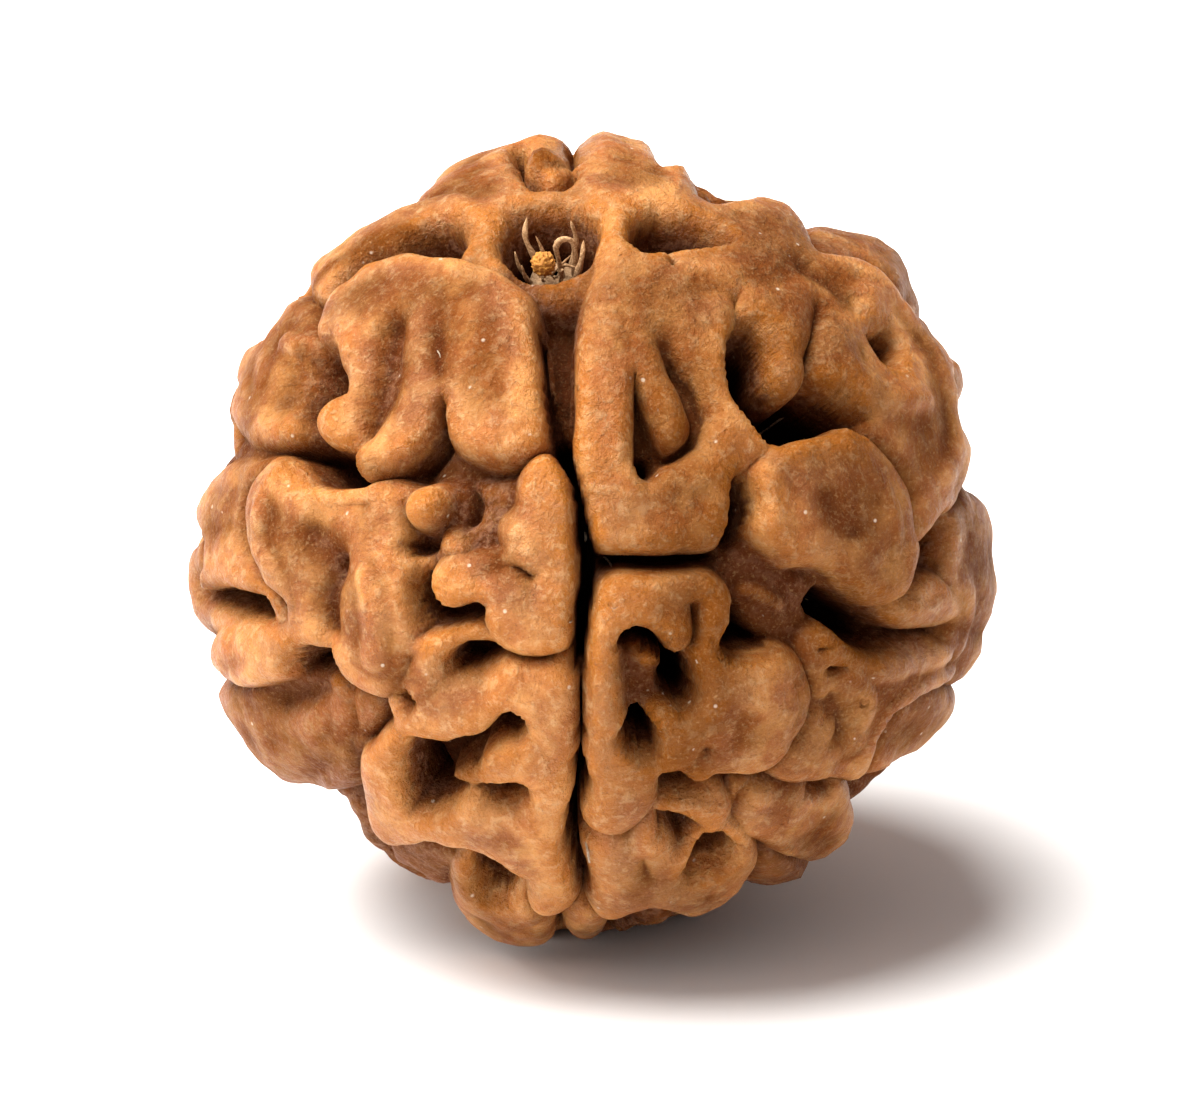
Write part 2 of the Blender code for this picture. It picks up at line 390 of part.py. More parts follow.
# Lobes that reach over a pit, raised after the pits are cut
OVER_LOBES = (
    ("pale bump crown", 0.02, ((450, 547, 17), (458, 551, 14))),
    ("amber knob crown", 0.46, ((416, 506, 26), (424, 500, 20))),
    ("tab", 0.30, ((346, 398, 8), (334, 404, 12), (326, 414, 13), (334, 428, 11))),
    ("tooth", 0.28, ((500, 766, 8), (512, 760, 11), (530, 766, 15))),
    ("bench rim over the pit", 0.22, ((408, 650, 10), (436, 640, 7), (466, 632, 6), (488, 640, 6))),
    ("rim of lobe r", 0.22, ((662, 842, 6), (674, 858, 7), (688, 858, 7), (700, 844, 6), (714, 832, 7),
        (732, 834, 8), (746, 848, 7))),
    ("side finger", 0.20, ((672, 806, 9), (700, 806, 11), (722, 816, 10))),
    ("top knob", 0.42, ((545, 155, 25),)),
    ("point into the ring", -0.22, ((498, 778, 20), (478, 778, 15), (460, 782, 9), (452, 784, 6))),
    ("panel tongue", 0.28, ((640, 336, 16), (654, 366, 18), (668, 394, 18), (678, 418, 16))),
    ("drip", 0.20, ((748, 783, 5),)),
)

# The bead's silhouette in the photograph
SILHOUETTE = (
    (548, 132), (562, 137), (570, 149), (577, 146), (585, 136), (600, 130), (616, 131), (632, 140),
    (646, 141), (656, 150), (663, 162), (684, 163), (696, 174), (704, 189), (722, 195), (745, 196),
    (760, 193), (775, 198), (789, 202), (798, 212), (808, 224), (822, 222), (836, 230), (860, 232),
    (880, 238), (897, 250), (908, 268), (914, 288), (917, 300), (924, 312), (922, 322), (938, 340),
    (955, 352), (964, 372), (964, 392), (959, 405), (964, 428), (974, 440), (974, 455), (971, 470),
    (970, 486), (984, 500), (991, 515), (994, 535), (992, 555), (996, 575), (999, 590), (997, 606),
    (990, 622), (982, 634), (982, 655), (976, 668), (964, 676), (957, 694), (953, 716), (946, 727),
    (930, 735), (922, 750), (905, 760), (885, 773), (866, 781), (858, 800), (857, 820), (851, 838),
    (836, 850), (822, 859), (812, 872), (796, 882), (776, 886), (754, 886), (738, 898), (721, 909),
    (700, 917), (682, 920), (640, 928), (600, 938), (580, 939), (566, 934), (553, 937), (540, 946),
    (520, 949), (500, 944), (482, 932), (466, 923), (455, 908), (448, 890), (438, 886), (415, 874),
    (392, 862), (372, 846), (362, 832), (358, 815), (348, 797), (328, 794), (314, 788), (296, 785),
    (280, 780), (262, 766), (246, 748), (232, 726), (220, 706), (215, 688), (213, 668), (209, 652),
    (211, 638), (198, 621), (189, 604), (187, 580), (190, 550), (197, 530), (196, 508), (204, 486),
    (216, 468), (231, 459), (230, 446), (234, 433), (228, 416), (230, 402), (235, 386), (238, 366),
    (246, 348), (264, 336), (275, 322), (286, 306), (302, 289), (307, 279), (310, 268), (322, 254),
    (340, 243), (360, 227), (380, 216), (400, 206), (420, 198), (428, 187), (441, 171), (460, 160),
    (480, 152), (500, 146), (520, 139), (535, 133),
)

# The bead's own axis runs through the hole, and its one clean groove through the second pixel
HOLE_PIXEL = (549.0, 240.0)
HOLE_RIM = -0.25
FRONT_PIXEL = (580.0, 640.0)

# The hidden side, in degrees round the bead's axis: strokes of the front that lie between two angles
# are turned by a third, after a hand of -1 mirrors them
TURNED_COPIES = ((12, 66, 92, 1), (-66, -12, -92, 1), (-60, -14, 144, -1))
HIDDEN_FROM = 0.4

# Seeded lobes where nothing else is, past this cosine to the eye: spots tried, least room, half-width,
# length, bend, gap and top in mm, and how much lower they are just past the limb
FILLER_FROM = 0.42
FILLER_SPOTS = 1500
FILLER_LEAST = 0.42
FILLER_WIDTH = (0.7, 1.25)
FILLER_LENGTH = (1.0, 2.6)
FILLER_BEND = 0.5
FILLER_GAP = 0.12
FILLER_TOP = (-0.05, 0.42)
FILLER_LOW_PAST = -0.32
FILLER_DROP = 0.75

# Seeded pits on the hidden side: spots tried, share kept, floor, half-width, length, and where they stop
HIDDEN_SPOTS = 150
HIDDEN_PIT_SHARE = 0.5
HIDDEN_PIT_FLOOR = (-2.4, -1.3)
HIDDEN_PIT_WIDTH = (0.3, 0.6)
HIDDEN_PIT_LENGTH = 0.10
HIDDEN_PITS_FROM = -0.05
HIDDEN_PITS_ABOVE = -0.86

# The one groove goes on under the bead to its foot pole, between two angles from the top pole
GROOVE_END = (2.84, 3.06)
GROOVE_WIDTH = 0.30
GROOVE_FLOOR = -1.3

# The worn spot that the bead rests on, and the small dimple at its foot pole
REST_LINE = ((-0.04, 0.02, -1.0), (0.06, -0.03, -1.0))
REST_LOBE_WIDTH = 3.9
REST_LOBE_TOP = 0.37
FOOT_DEPTH = 1.8
FOOT_WIDTH = 1.15

# The pith in the hole, in mm: plug rings (depth, radius), then fibres as half-width and
# points (right, forward, depth)
PLUG_RINGS = ((1.25, 0.62), (1.35, 0.92), (1.9, 0.86), (2.5, 0.72), (2.85, 0.45))
FIBRES = (
    (0.14, ((-0.62, -0.70, -0.40), (-0.74, -0.45, 0.20), (-0.52, -0.25, 0.90), (-0.35, 0.0, 1.9))),
    (0.13, ((0.19, 0.10, 1.8), (0.22, 0.10, 0.9), (0.19, 0.10, 0.2), (0.43, 0.10, -0.05), (0.72, 0.10, 0.12),
            (0.70, 0.10, 1.0), (0.56, 0.10, 1.8))),
    (0.12, ((0.71, -0.45, -0.30), (0.78, -0.45, 0.50), (0.60, -0.40, 1.2), (0.45, -0.30, 1.9))),
    (0.13, ((1.05, 0.12, 0.05), (0.95, 0.36, 0.50), (0.70, 0.42, 1.2), (0.40, 0.36, 1.9))),
    (0.10, ((-1.08, 0.02, 0.30), (-1.02, 0.10, 0.80), (-0.78, 0.12, 1.4), (-0.50, 0.10, 2.0))),
    (0.10, ((-0.90, 0.46, 0.50), (-0.84, 0.46, 1.0), (-0.62, 0.40, 1.5), (-0.40, 0.30, 2.0))),
    (0.09, ((-0.40, -0.20, -0.05), (-0.25, -0.12, 0.50), (-0.12, -0.02, 1.2), (-0.10, 0.0, 2.0))),
)
CRUMB_PLACE = (-0.24, 0.58, 0.42)
CRUMB_RADIUS = 0.36


def photo_ray(pixels):
    """The eye point and the unit directions from it through these pixels of the photograph."""
    back = np.array([0.0, -math.cos(EYE_ELEVATION), math.sin(EYE_ELEVATION)])
    up = np.array([0.0, math.sin(EYE_ELEVATION), math.cos(EYE_ELEVATION)])
    right = np.array([1.0, 0.0, 0.0])
    across = (pixels[:, 0] - PHOTO_CENTRE[0]) / PHOTO_SCALE
    rise = (PHOTO_CENTRE[1] - pixels[:, 1]) / PHOTO_SCALE
    eye = back * EYE_DISTANCE
    aim = across[:, None] * right + rise[:, None] * up - eye
    return eye, aim / np.linalg.norm(aim, axis=1, keepdims=True)


def onto_sphere(pixels, lift=0.0):
    """The unit directions from the centre to where these pixels see a sphere this far over the lobes.

    With eye e and ray a, the near root of |e + t a| = R. A ray that misses takes its closest point.
    """
    eye, aim = photo_ray(np.asarray(pixels, float))
    along = -(aim @ eye)
    reach = (LOBE_RADIUS + lift) ** 2 - (eye @ eye - along**2)
    point = eye + (along - np.sqrt(np.maximum(reach, 0.0)))[:, None] * aim
    return point / np.linalg.norm(point, axis=1, keepdims=True)


def smooth_path(points, step=1.0):
    """A Catmull-Rom curve through rows of numbers, with about one row for each step of length."""
    points = np.asarray(points, float)
    if len(points) < 3:
        return points
    ends = np.vstack([2 * points[0] - points[1], points, 2 * points[-1] - points[-2]])
    rows = []
    for i in range(1, len(ends) - 2):
        a, b, c, d = ends[i - 1 : i + 3]
        count = max(1, int(round(np.linalg.norm((c - b)[:3]) / step)))
        t = (np.arange(count) / count)[:, None]
        square, cube = 2 * a - 5 * b + 4 * c - d, 3 * b - 3 * c + d - a
        rows.append(b + ((c - a) * t + square * t**2 + cube * t**3) / 2)
    return np.vstack(rows + [ends[-2:-1]])


def photo_stroke(points, level):
    """A stroke of the photograph as rows (x, y, z, half-width) in mm on the lobe sphere."""
    points = np.asarray(points, float)
    place = onto_sphere(points[:, :2], max(level, LOWEST_CAST)) * LOBE_RADIUS
    return smooth_path(np.column_stack([place, points[:, 2] / PHOTO_SCALE]))


def reach_of(places, path):
    """For each place: distance to the path over its half-width there, and the edge distance in mm.

    Over each segment a-b with half-widths ra, rb: t = clamp((p - a).(b - a) / |b - a|^2),
    d = |p - a - t(b - a)| and r = ra + t (rb - ra). The segment with the least d - r counts.
    """
    ratio = np.full(len(places), 9.0)
    edge = np.full(len(places), -9.0)
    if len(path) == 1:
        path = np.vstack([path, path + np.array([1e-4, 0, 0, 0])])
    for a, b in zip(path[:-1], path[1:]):
        side = b[:3] - a[:3]
        t = np.clip((places - a[:3]) @ side / max(side @ side, 1e-12), 0, 1)
        away = np.linalg.norm(places - a[:3] - t[:, None] * side, axis=1)
        width = a[3] + t * (b[3] - a[3])
        nearer = width - away > edge
        edge = np.where(nearer, width - away, edge)
        ratio = np.where(nearer, away / width, ratio)
    return ratio, edge


def near(places, path, margin):
    """Which places lie within the margin of the path's bounding ball."""
    middle = path[:, :3].mean(axis=0)
    radius = np.linalg.norm(path[:, :3] - middle, axis=1).max() + path[:, 3].max() + margin
    return np.flatnonzero(np.linalg.norm(places - middle, axis=1) < radius)


def smooth_max(a, b, k):
    """max(a, b) with its corner rounded over k."""
    h = np.maximum(k - np.abs(a - b), 0.0) / k
    return np.maximum(a, b) + h * h * k / 4


def raise_lobe(height, places, path, top):
    """height = smooth max of itself and a lobe: a quarter-round edge up to a faintly crowned top."""
    index = near(places, path, SPARE)
    ratio, edge = reach_of(places[index], path)
    edge = edge + LOBE_LIP * np.clip(2 - ratio, 0, 1)
    span = np.minimum(LOBE_EDGE, np.maximum(edge / np.maximum(1 - ratio, 1e-6), 1e-3))
    s = np.clip(edge / span, 0, 1)
    crown = LOBE_CROWN * (1 - np.minimum(ratio, 1) ** 2)
    lobe = LOBE_FOOT + (top - LOBE_FOOT) * np.sqrt(s * (2 - s)) + crown
    height[index] = smooth_max(height[index], lobe, CREASE)


def change_height(height, places, path, change):
    """height = itself + change exp(-ratio^2), with the ratio of distance to half-width."""
    index = near(places, path, DENT_REACH)
    ratio, _ = reach_of(places[index], path)
    height[index] += change * np.exp(-(ratio**2))


def cut_pit(height, places, path, floor):
    """height = smooth min of itself and a bowl that climbs as the fifth power of the distance ratio."""
    index = near(places, path, SPARE)
    ratio, _ = reach_of(places[index], path)
    floor = floor * PIT_DEPTH
    bowl = floor + (PIT_RIM - floor) * np.minimum(ratio, BOWL_MOST) ** 5
    height[index] = -smooth_max(-height[index], -bowl, PIT_LIP)


def photo_outline(pixels, level):
    """A closed outline of the photograph as rows (x, y, z) in mm on the lobe sphere."""
    pixels = np.asarray(pixels, float)
    place = onto_sphere(pixels, max(level, LOWEST_CAST)) * LOBE_RADIUS
    around = np.vstack([place[-1:], place, place[:2]])
    return smooth_path(around, 0.6)[:-1]


def flat_map(places, middle):
    """Places on the sphere as flat mm round a middle: the part across it times R a / sin a, at angle a."""
    across = np.cross(middle, [0.36, 0.48, 0.80])
    across /= np.linalg.norm(across)
    up = np.cross(across, middle)
    unit = places / np.linalg.norm(places, axis=1, keepdims=True)
    angle = np.arccos(np.clip(unit @ middle, -1, 1))
    reach = LOBE_RADIUS * angle / np.maximum(np.sin(angle), 1e-6)
    return np.column_stack([unit @ across, unit @ up]) * reach[:, None]


def inside_of(places, outline, margin):
    """The places near an outline, and how far inside it each lies in mm, less than 0 outside.

    The distance is the least over the outline's segments, and a place is inside where a level line from it
    crosses them an odd number of times.
    """
    middle = outline.mean(axis=0)
    middle /= np.linalg.norm(middle)
    edge = flat_map(outline, middle)
    reach = np.linalg.norm(outline - middle * LOBE_RADIUS, axis=1).max() + margin
    index = np.flatnonzero(np.linalg.norm(places - middle * LOBE_RADIUS, axis=1) < reach)
    spot = flat_map(places[index], middle)
    least = np.full(len(index), 99.0)
    odd = np.zeros(len(index), bool)
    for a, b in zip(edge, np.roll(edge, -1, axis=0)):
        side = b - a
        off = spot - a
        t = np.clip(off @ side / max(side @ side, 1e-12), 0, 1)
        least = np.minimum(least, np.hypot(off[:, 0] - t * side[0], off[:, 1] - t * side[1]))
        rise = side[1] if abs(side[1]) > 1e-12 else 1e-12
        crossed = (a[1] > spot[:, 1]) != (b[1] > spot[:, 1])
        odd ^= crossed & (off[:, 0] < off[:, 1] / rise * side[0])
    return index, np.where(odd, least, -least)


def raise_plate(height, places, outline, top):
    """height = smooth max of itself and a plate: a quarter-round edge up to a top that swells inward."""
    index, inside = inside_of(places, outline, SPARE)
    s = np.clip((inside + PLATE_LIP) / PLATE_EDGE, 0, 1)
    crown = PLATE_CROWN * (1 - np.exp(-np.maximum(inside, 0) / PLATE_CROWN_LENGTH))
    plate = LOBE_FOOT + (top - LOBE_FOOT) * np.sqrt(s * (2 - s)) + crown
    height[index] = smooth_max(height[index], plate, PLATE_CREASE)


def cut_basin(height, places, outline, floor):
    """height = smooth min of itself and a basin: walls that fall as a fourth power down to a flat floor."""
    index, inside = inside_of(places, outline, SPARE)
    inside = inside + BASIN_LIP
    wall = min(BASIN_WALL, max(float(inside.max(initial=0.2)), 0.2))
    floor = floor * PIT_DEPTH
    ratio = np.clip(1 - inside / wall, 0, BOWL_MOST)
    bowl = floor + (BASIN_RIM - floor) * ratio**4
    height[index] = -smooth_max(-height[index], -bowl, PIT_LIP)


def waves(places, length, seed):
    """Smooth seeded noise near +-1: the mean of 20 plane waves of this length in mm, times 2."""
    rng = np.random.default_rng(seed)
    aims = rng.normal(size=(20, 3))
    aims /= np.linalg.norm(aims, axis=1, keepdims=True)
    turns = 2 * math.pi / (length * rng.uniform(0.75, 1.35, 20))
    phases = rng.uniform(0, 2 * math.pi, 20)
    return np.sin(places @ (aims * turns[:, None]).T + phases).mean(axis=1) * 2.0


def bead_frame():
    """Unit vectors of the bead's own axis, of its front groove and of its right-hand side."""
    pole, front = onto_sphere(np.array([HOLE_PIXEL, FRONT_PIXEL]), HOLE_RIM)
    front -= (front @ pole) * pole
    front /= np.linalg.norm(front)
    return pole, front, np.cross(pole, front)


def turned(path, frame, turn, hand):
    """A path turned about the bead's axis, and with hand -1 mirrored across the front groove first."""
    pole, front, side = frame
    a, b, c = path[:, :3] @ front, path[:, :3] @ side * hand, path[:, :3] @ pole
    cos, sin = math.cos(turn), math.sin(turn)
    place = np.outer(a * cos - b * sin, front) + np.outer(a * sin + b * cos, side) + np.outer(c, pole)
    return np.column_stack([place, path[:, 3:]])


def hidden(path):
    """Whether the whole path lies past the limb, as the photograph's eye sees it."""
    return toward_eye(path[:, :3]).max() < HIDDEN_FROM


def hidden_copies(paths, frame):
    """The (height, rows) beside the front groove, turned round to the hidden side."""
    _, front, side = frame
    copies = []
    for level, path in paths:
        middle = path[:, :3].mean(axis=0)
        around = math.degrees(math.atan2(middle @ side, middle @ front))
        for start, end, turn, hand in TURNED_COPIES:
            copy = turned(path, frame, math.radians(turn), hand)
            if start < around < end and hidden(copy):
                copies.append((level, copy))
    return copies


def with_copies(strokes, reader, frame, rim=None):
    """The (height, rows) of named strokes or outlines, with those turned to the hidden side.

    They are seen at their own height, or those of hollows at the height of their rim.
    """
    paths = [(level, reader(points, level if rim is None else rim)) for _, level, points in strokes]
    return paths + hidden_copies(paths, frame)


def groove_end(frame):
    """The groove's last stretch, on the meridian of the front groove, as rows (x, y, z, half-width)."""
    pole, front, _ = frame
    angle = np.linspace(*GROOVE_END, 4)
    place = LOBE_RADIUS * (np.cos(angle)[:, None] * pole + np.sin(angle)[:, None] * front)
    return np.column_stack([place, np.full(4, GROOVE_WIDTH)])


def spiral_spots(count):
    """Even unit directions: the k-th has cos(polar) = 1 - (2k + 1) / count and turns by the golden angle."""
    rank = np.arange(count) + 0.5
    polar = np.arccos(1 - 2 * rank / count)
    around = math.pi * (1 + math.sqrt(5)) * rank
    return np.column_stack([np.sin(polar) * np.cos(around), np.sin(polar) * np.sin(around), np.cos(polar)])


def toward_eye(directions):
    """The cosine between each direction and the photograph's line of sight."""
    return directions @ np.array([0.0, -math.cos(EYE_ELEVATION), math.sin(EYE_ELEVATION)])


def filler_lobes(paths, outlines):
    """Seeded bent lobes for the ground near and past the limb that no stroke or outline covers."""
    rng = np.random.default_rng(SEED)
    spots = spiral_spots(FILLER_SPOTS)
    facing = toward_eye(spots)
    spots = spots * LOBE_RADIUS
    room = np.full(len(spots), 9.0)
    for path in paths:
        room = np.minimum(room, -reach_of(spots, path)[1])
    for outline in outlines:
        index, inside = inside_of(spots, outline, 1.5)
        room[index] = np.minimum(room[index], -inside)
    made = []
    for i in rng.permutation(len(spots)):
        if room[i] < FILLER_LEAST or facing[i] > FILLER_FROM:
            continue
        width = min(room[i], rng.uniform(*FILLER_WIDTH))
        drift = np.cross(spots[i], rng.normal(size=3))
        drift *= rng.uniform(*FILLER_LENGTH) / np.linalg.norm(drift)
        bend = np.cross(spots[i], drift) * rng.uniform(-FILLER_BEND, FILLER_BEND) / LOBE_RADIUS
        line = np.vstack([spots[i] - drift + bend, spots[i], spots[i] + drift + bend])
        line *= LOBE_RADIUS / np.linalg.norm(line, axis=1, keepdims=True)
        there = [int(np.argmin(np.linalg.norm(spots - point, axis=1))) for point in line]
        widths = [float(np.clip(room[k] + 0.1, 0.3, width)) for k in there]
        path = smooth_path(np.column_stack([line, widths]))
        room = np.minimum(room, -reach_of(spots, path)[1] - FILLER_GAP)
        drop = FILLER_DROP if facing[i] > FILLER_LOW_PAST else 0.0
        made.append((rng.uniform(*FILLER_TOP) - drop, path))
    return made


def filler_pits():
    """Seeded pits on the hidden side."""
    rng = np.random.default_rng(SEED + 1)
    spots = spiral_spots(HIDDEN_SPOTS)
    spots = spots[(toward_eye(spots) < HIDDEN_PITS_FROM) & (spots[:, 2] > HIDDEN_PITS_ABOVE)]
    made = []
    for spot in spots:
        if rng.uniform() > HIDDEN_PIT_SHARE:
            continue
        drift = np.cross(spot, rng.normal(size=3)) * HIDDEN_PIT_LENGTH / 2
        ends = np.vstack([spot - drift, spot + drift])
        ends *= LOBE_RADIUS / np.linalg.norm(ends, axis=1, keepdims=True)
        widths = rng.uniform(*HIDDEN_PIT_WIDTH, 2)
        made.append((rng.uniform(*HIDDEN_PIT_FLOOR), np.column_stack([ends, widths])))
    return made


def heights(directions):
    """The height in mm over the lobe radius in each direction."""
    frame = bead_frame()
    pole = frame[0]
    places = directions * LOBE_RADIUS
    waver, length = WAVER
    places = places + waver * np.column_stack([waves(places, length, SEED + k) for k in range(3)])
    plates = with_copies(PLATES, photo_outline, frame)
    basins = with_copies(BASINS, photo_outline, frame, HOLLOW_RIM)
    lobes = with_copies(LOBES, photo_stroke, frame)
    dents = with_copies(DENTS, photo_stroke, frame, HOLLOW_RIM)
    pits = with_copies(PITS, photo_stroke, frame, HOLLOW_RIM) + [(GROOVE_FLOOR, groove_end(frame))]
    over = with_copies(OVER_LOBES, photo_stroke, frame)
    rest = np.column_stack([REST_LINE, [REST_LOBE_WIDTH] * 2])
    rest[:, :3] *= LOBE_RADIUS / np.linalg.norm(rest[:, :3], axis=1, keepdims=True)
    lobes += filler_lobes([path for _, path in lobes + pits] + [rest], [path for _, path in plates + basins])
    pits += filler_pits()
    behind = np.clip((FILLER_FROM - toward_eye(directions)) / FILLER_FROM, 0, 1)
    swing, length = GROUND_WAVES
    height = GROUND + (HIDDEN_GROUND - GROUND) * behind + swing * waves(places, length, SEED + 5)
    for top, outline in plates:
        raise_plate(height, places, outline, top)
    for top, path in lobes:
        raise_lobe(height, places, path, top)
    for change, path in dents:
        change_height(height, places, path, change)
    for floor, path in pits:
        cut_pit(height, places, path, floor)
    for floor, outline in basins:
        cut_basin(height, places, outline, floor)
    for top, path in over:
        raise_lobe(height, places, path, top)
    raise_lobe(height, places, rest, REST_LOBE_TOP)
    for end, depth, width, power in (
        (pole, HOLE_DEPTH / MM, HOLE_RADIUS / MM, 8),
        (-pole, FOOT_DEPTH, FOOT_WIDTH, 5),
    ):
        ratio = np.linalg.norm(places - end * LOBE_RADIUS, axis=1) / width
        bowl = (PIT_RIM + depth) * np.minimum(ratio, BOWL_MOST) ** power - depth
        height = -smooth_max(-height, -bowl, HOLE_LIP)
    for size, length, seed in UNDULATIONS:
        height += size * waves(places, length, SEED + seed)
    return height


def cube_sphere(n):
    """Unit directions and quads of a cube blown up to a sphere, n quads along an edge, shared at the seams.

    On each face the point (tan a, tan b, 1) is pushed out to length 1, with a and b even from -45 to 45
    degrees.
    """
    even = np.tan(np.linspace(-math.pi / 4, math.pi / 4, n + 1))
    a, b = (grid.ravel() for grid in np.meshgrid(even, even, indexing="ij"))
    one = np.ones_like(a)
    sheets = [
        np.column_stack(columns)
        for columns in (
            (one, a, b), (-one, b, a), (b, one, a), (a, -one, b), (a, b, one), (b, a, -one),
        )
    ]
    points = np.vstack(sheets)
    points /= np.linalg.norm(points, axis=1, keepdims=True)
    corner = (np.arange(n)[:, None] * (n + 1) + np.arange(n)).ravel()
    quad = np.column_stack([corner, corner + n + 1, corner + n + 2, corner + 1])
    quads = np.vstack([quad + sheet * (n + 1) ** 2 for sheet in range(6)])
    _, first, shared = np.unique(np.round(points, 7), axis=0, return_index=True, return_inverse=True)
    return points[first], shared.ravel()[quads]


def normals_of(points, quads):
    """Unit normals at the points: the sum of the cross products of the diagonals of the quads round each."""
    cross = np.cross(points[quads[:, 2]] - points[quads[:, 0]], points[quads[:, 3]] - points[quads[:, 1]])
    total = np.column_stack(
        [np.bincount(quads.ravel(), np.repeat(cross[:, k], 4), len(points)) for k in range(3)]
    )
    return total / np.linalg.norm(total, axis=1, keepdims=True)


def relaxed(points, quads, rounds):
    """The points after rounds of p = p / 2 + (mean of its neighbours along the quads' edges) / 2."""
    ends = np.concatenate([quads, np.roll(quads, -1, axis=1)]).ravel()
    others = np.concatenate([np.roll(quads, -1, axis=1), quads]).ravel()
    count = np.bincount(ends, minlength=len(points))
    for _ in range(rounds):
        total = np.column_stack([np.bincount(ends, points[others, k], len(points)) for k in range(3)])
        points = points / 2 + total / count[:, None] / 2
    return points


def outline_reach(turn):
    """The photograph's silhouette as a distance in mm from its centre, at each turn from the right."""
    spot = (np.asarray(SILHOUETTE, float) - PHOTO_CENTRE) * [1, -1] / PHOTO_SCALE
    angle = np.arctan2(spot[:, 1], spot[:, 0])
    order = np.argsort(angle)
    return np.interp(turn, angle[order], np.linalg.norm(spot[order], axis=1), period=2 * math.pi)


def seen(points):
    """Each point's turn round the view, distance from its centre in mm, and cosine to the eye."""
    back = np.array([0.0, -math.cos(EYE_ELEVATION), math.sin(EYE_ELEVATION)])
    up = np.array([0.0, math.sin(EYE_ELEVATION), math.cos(EYE_ELEVATION)])
    size = EYE_DISTANCE / (EYE_DISTANCE - points @ back)
    across, rise = points[:, 0] * size, points @ up * size
    return np.arctan2(rise, across), np.hypot(across, rise), points @ back / np.linalg.norm(points, axis=1)


def pulled_to_outline(points):
    """The points with their limb drawn in or out, so that its silhouette is the photograph's.

    In each of LIMB_STEPS sectors of the view, the front's farthest point gives the present silhouette. Each
    point moves from the centre by 1 + (wanted / present - 1) exp(-(c / LIMB_PULL)^2), c its cosine to the
    eye. What lies past the limb and still shows outside the wanted silhouette is then drawn in to it.
    """
    turn, reach, facing = seen(points)
    sector = ((turn / (2 * math.pi) + 0.5) * LIMB_STEPS).astype(int) % LIMB_STEPS
    front = facing > 0
    farthest = np.zeros(LIMB_STEPS)
    np.maximum.at(farthest, sector[front], reach[front])
    middle = (np.arange(LIMB_STEPS) + 0.5) / LIMB_STEPS * 2 * math.pi - math.pi
    change = np.interp(turn, middle, outline_reach(middle) / farthest - 1, period=2 * math.pi)
    points = points * (1 + change * np.exp(-((facing / LIMB_PULL) ** 2)))[:, None]
    turn, reach, facing = seen(points)
    share = reach / outline_reach(turn)
    inside = -smooth_max(-share, -np.full(len(share), LIMB_MOST), LIMB_SOFT)
    past = np.clip(1 - facing / LIMB_SOFT, 0, 1)
    return points * (1 + past * (inside / share - 1))[:, None]


def stone_points(directions, quads, height):
    """Points in mm of the stone: the heights along the directions, then lobes swollen over their pits.

    The swell moves each point by s along the surface normal and back by s along its direction, with s
    rising from 0 in the pits to SWELL on the lobes, so it widens the lobes without raising them.
    """
    points = directions * (LOBE_RADIUS + height)[:, None]
    swell = SWELL * np.clip(1 - height / SWELL_FROM, 0, 1)
    points = points + (normals_of(points, quads) - directions) * swell[:, None]
    points = pulled_to_outline(relaxed(points, quads, RELAX_ROUNDS))
    return points + [0.0, 0.0, REST_HEIGHT / MM]


def in_hole(local):
    """Rows (right, forward, depth below the rim) at the top hole, in mm, as places in mm."""
    pole, front, side = bead_frame()
    local = np.asarray(local, float)
    place = np.outer(local[:, 0], side) + np.outer(local[:, 1], front)
    place += (LOBE_RADIUS + HOLE_RIM - local[:, 2])[:, None] * pole
    return place + np.array([0.0, 0.0, REST_HEIGHT / MM])


def add_mesh(name, points, faces, material):
    """A mesh object from points in mm, with its faces turned outward and shaded smooth."""
    mesh = bpy.data.meshes.new(name)
    mesh.from_pydata([tuple(p) for p in points * MM], [], [tuple(int(i) for i in f) for f in faces])
    built = bmesh.new()
    built.from_mesh(mesh)
    bmesh.ops.recalc_face_normals(built, faces=built.faces)
    built.to_mesh(mesh)
    built.free()
    mesh.polygons.foreach_set("use_smooth", [True] * len(mesh.polygons))
    mesh.materials.append(material)
    made = bpy.data.objects.new(name, mesh)
    bpy.context.scene.collection.objects.link(made)
    return made


def tube(path, radius, sides):
    """A closed tube along rows (x, y, z): rings across the path, rounded off to a point at both ends."""
    path = smooth_path(path, 0.22)
    along = np.gradient(path, axis=0)
    along /= np.linalg.norm(along, axis=1, keepdims=True)
    across = np.cross(along, [0.31, 0.77, 0.55])
    across /= np.linalg.norm(across, axis=1, keepdims=True)
    third = np.cross(along, across)
    turn = np.arange(sides) * 2 * math.pi / sides
    taper = np.linspace(0.62, 1.0, len(path))
    ring = np.cos(turn)[:, None] * across[:, None] + np.sin(turn)[:, None] * third[:, None]
    rings = path[:, None] + ring * (radius * taper)[:, None, None]
    tips = np.vstack([path[0] - along[0] * radius * 0.6, path[-1] + along[-1] * radius * 0.6])
    points = np.vstack([rings.reshape(-1, 3), tips])
    last = len(path) * sides
    faces = []
    for row in range(len(path) - 1):
        for k in range(sides):
            a, b = row * sides + k, row * sides + (k + 1) % sides
            faces.append((a, b, b + sides, a + sides))
    for k in range(sides):
        faces.append((last, (k + 1) % sides, k))
        faces.append((last + 1, last - sides + k, last - sides + (k + 1) % sides))
    return points, faces


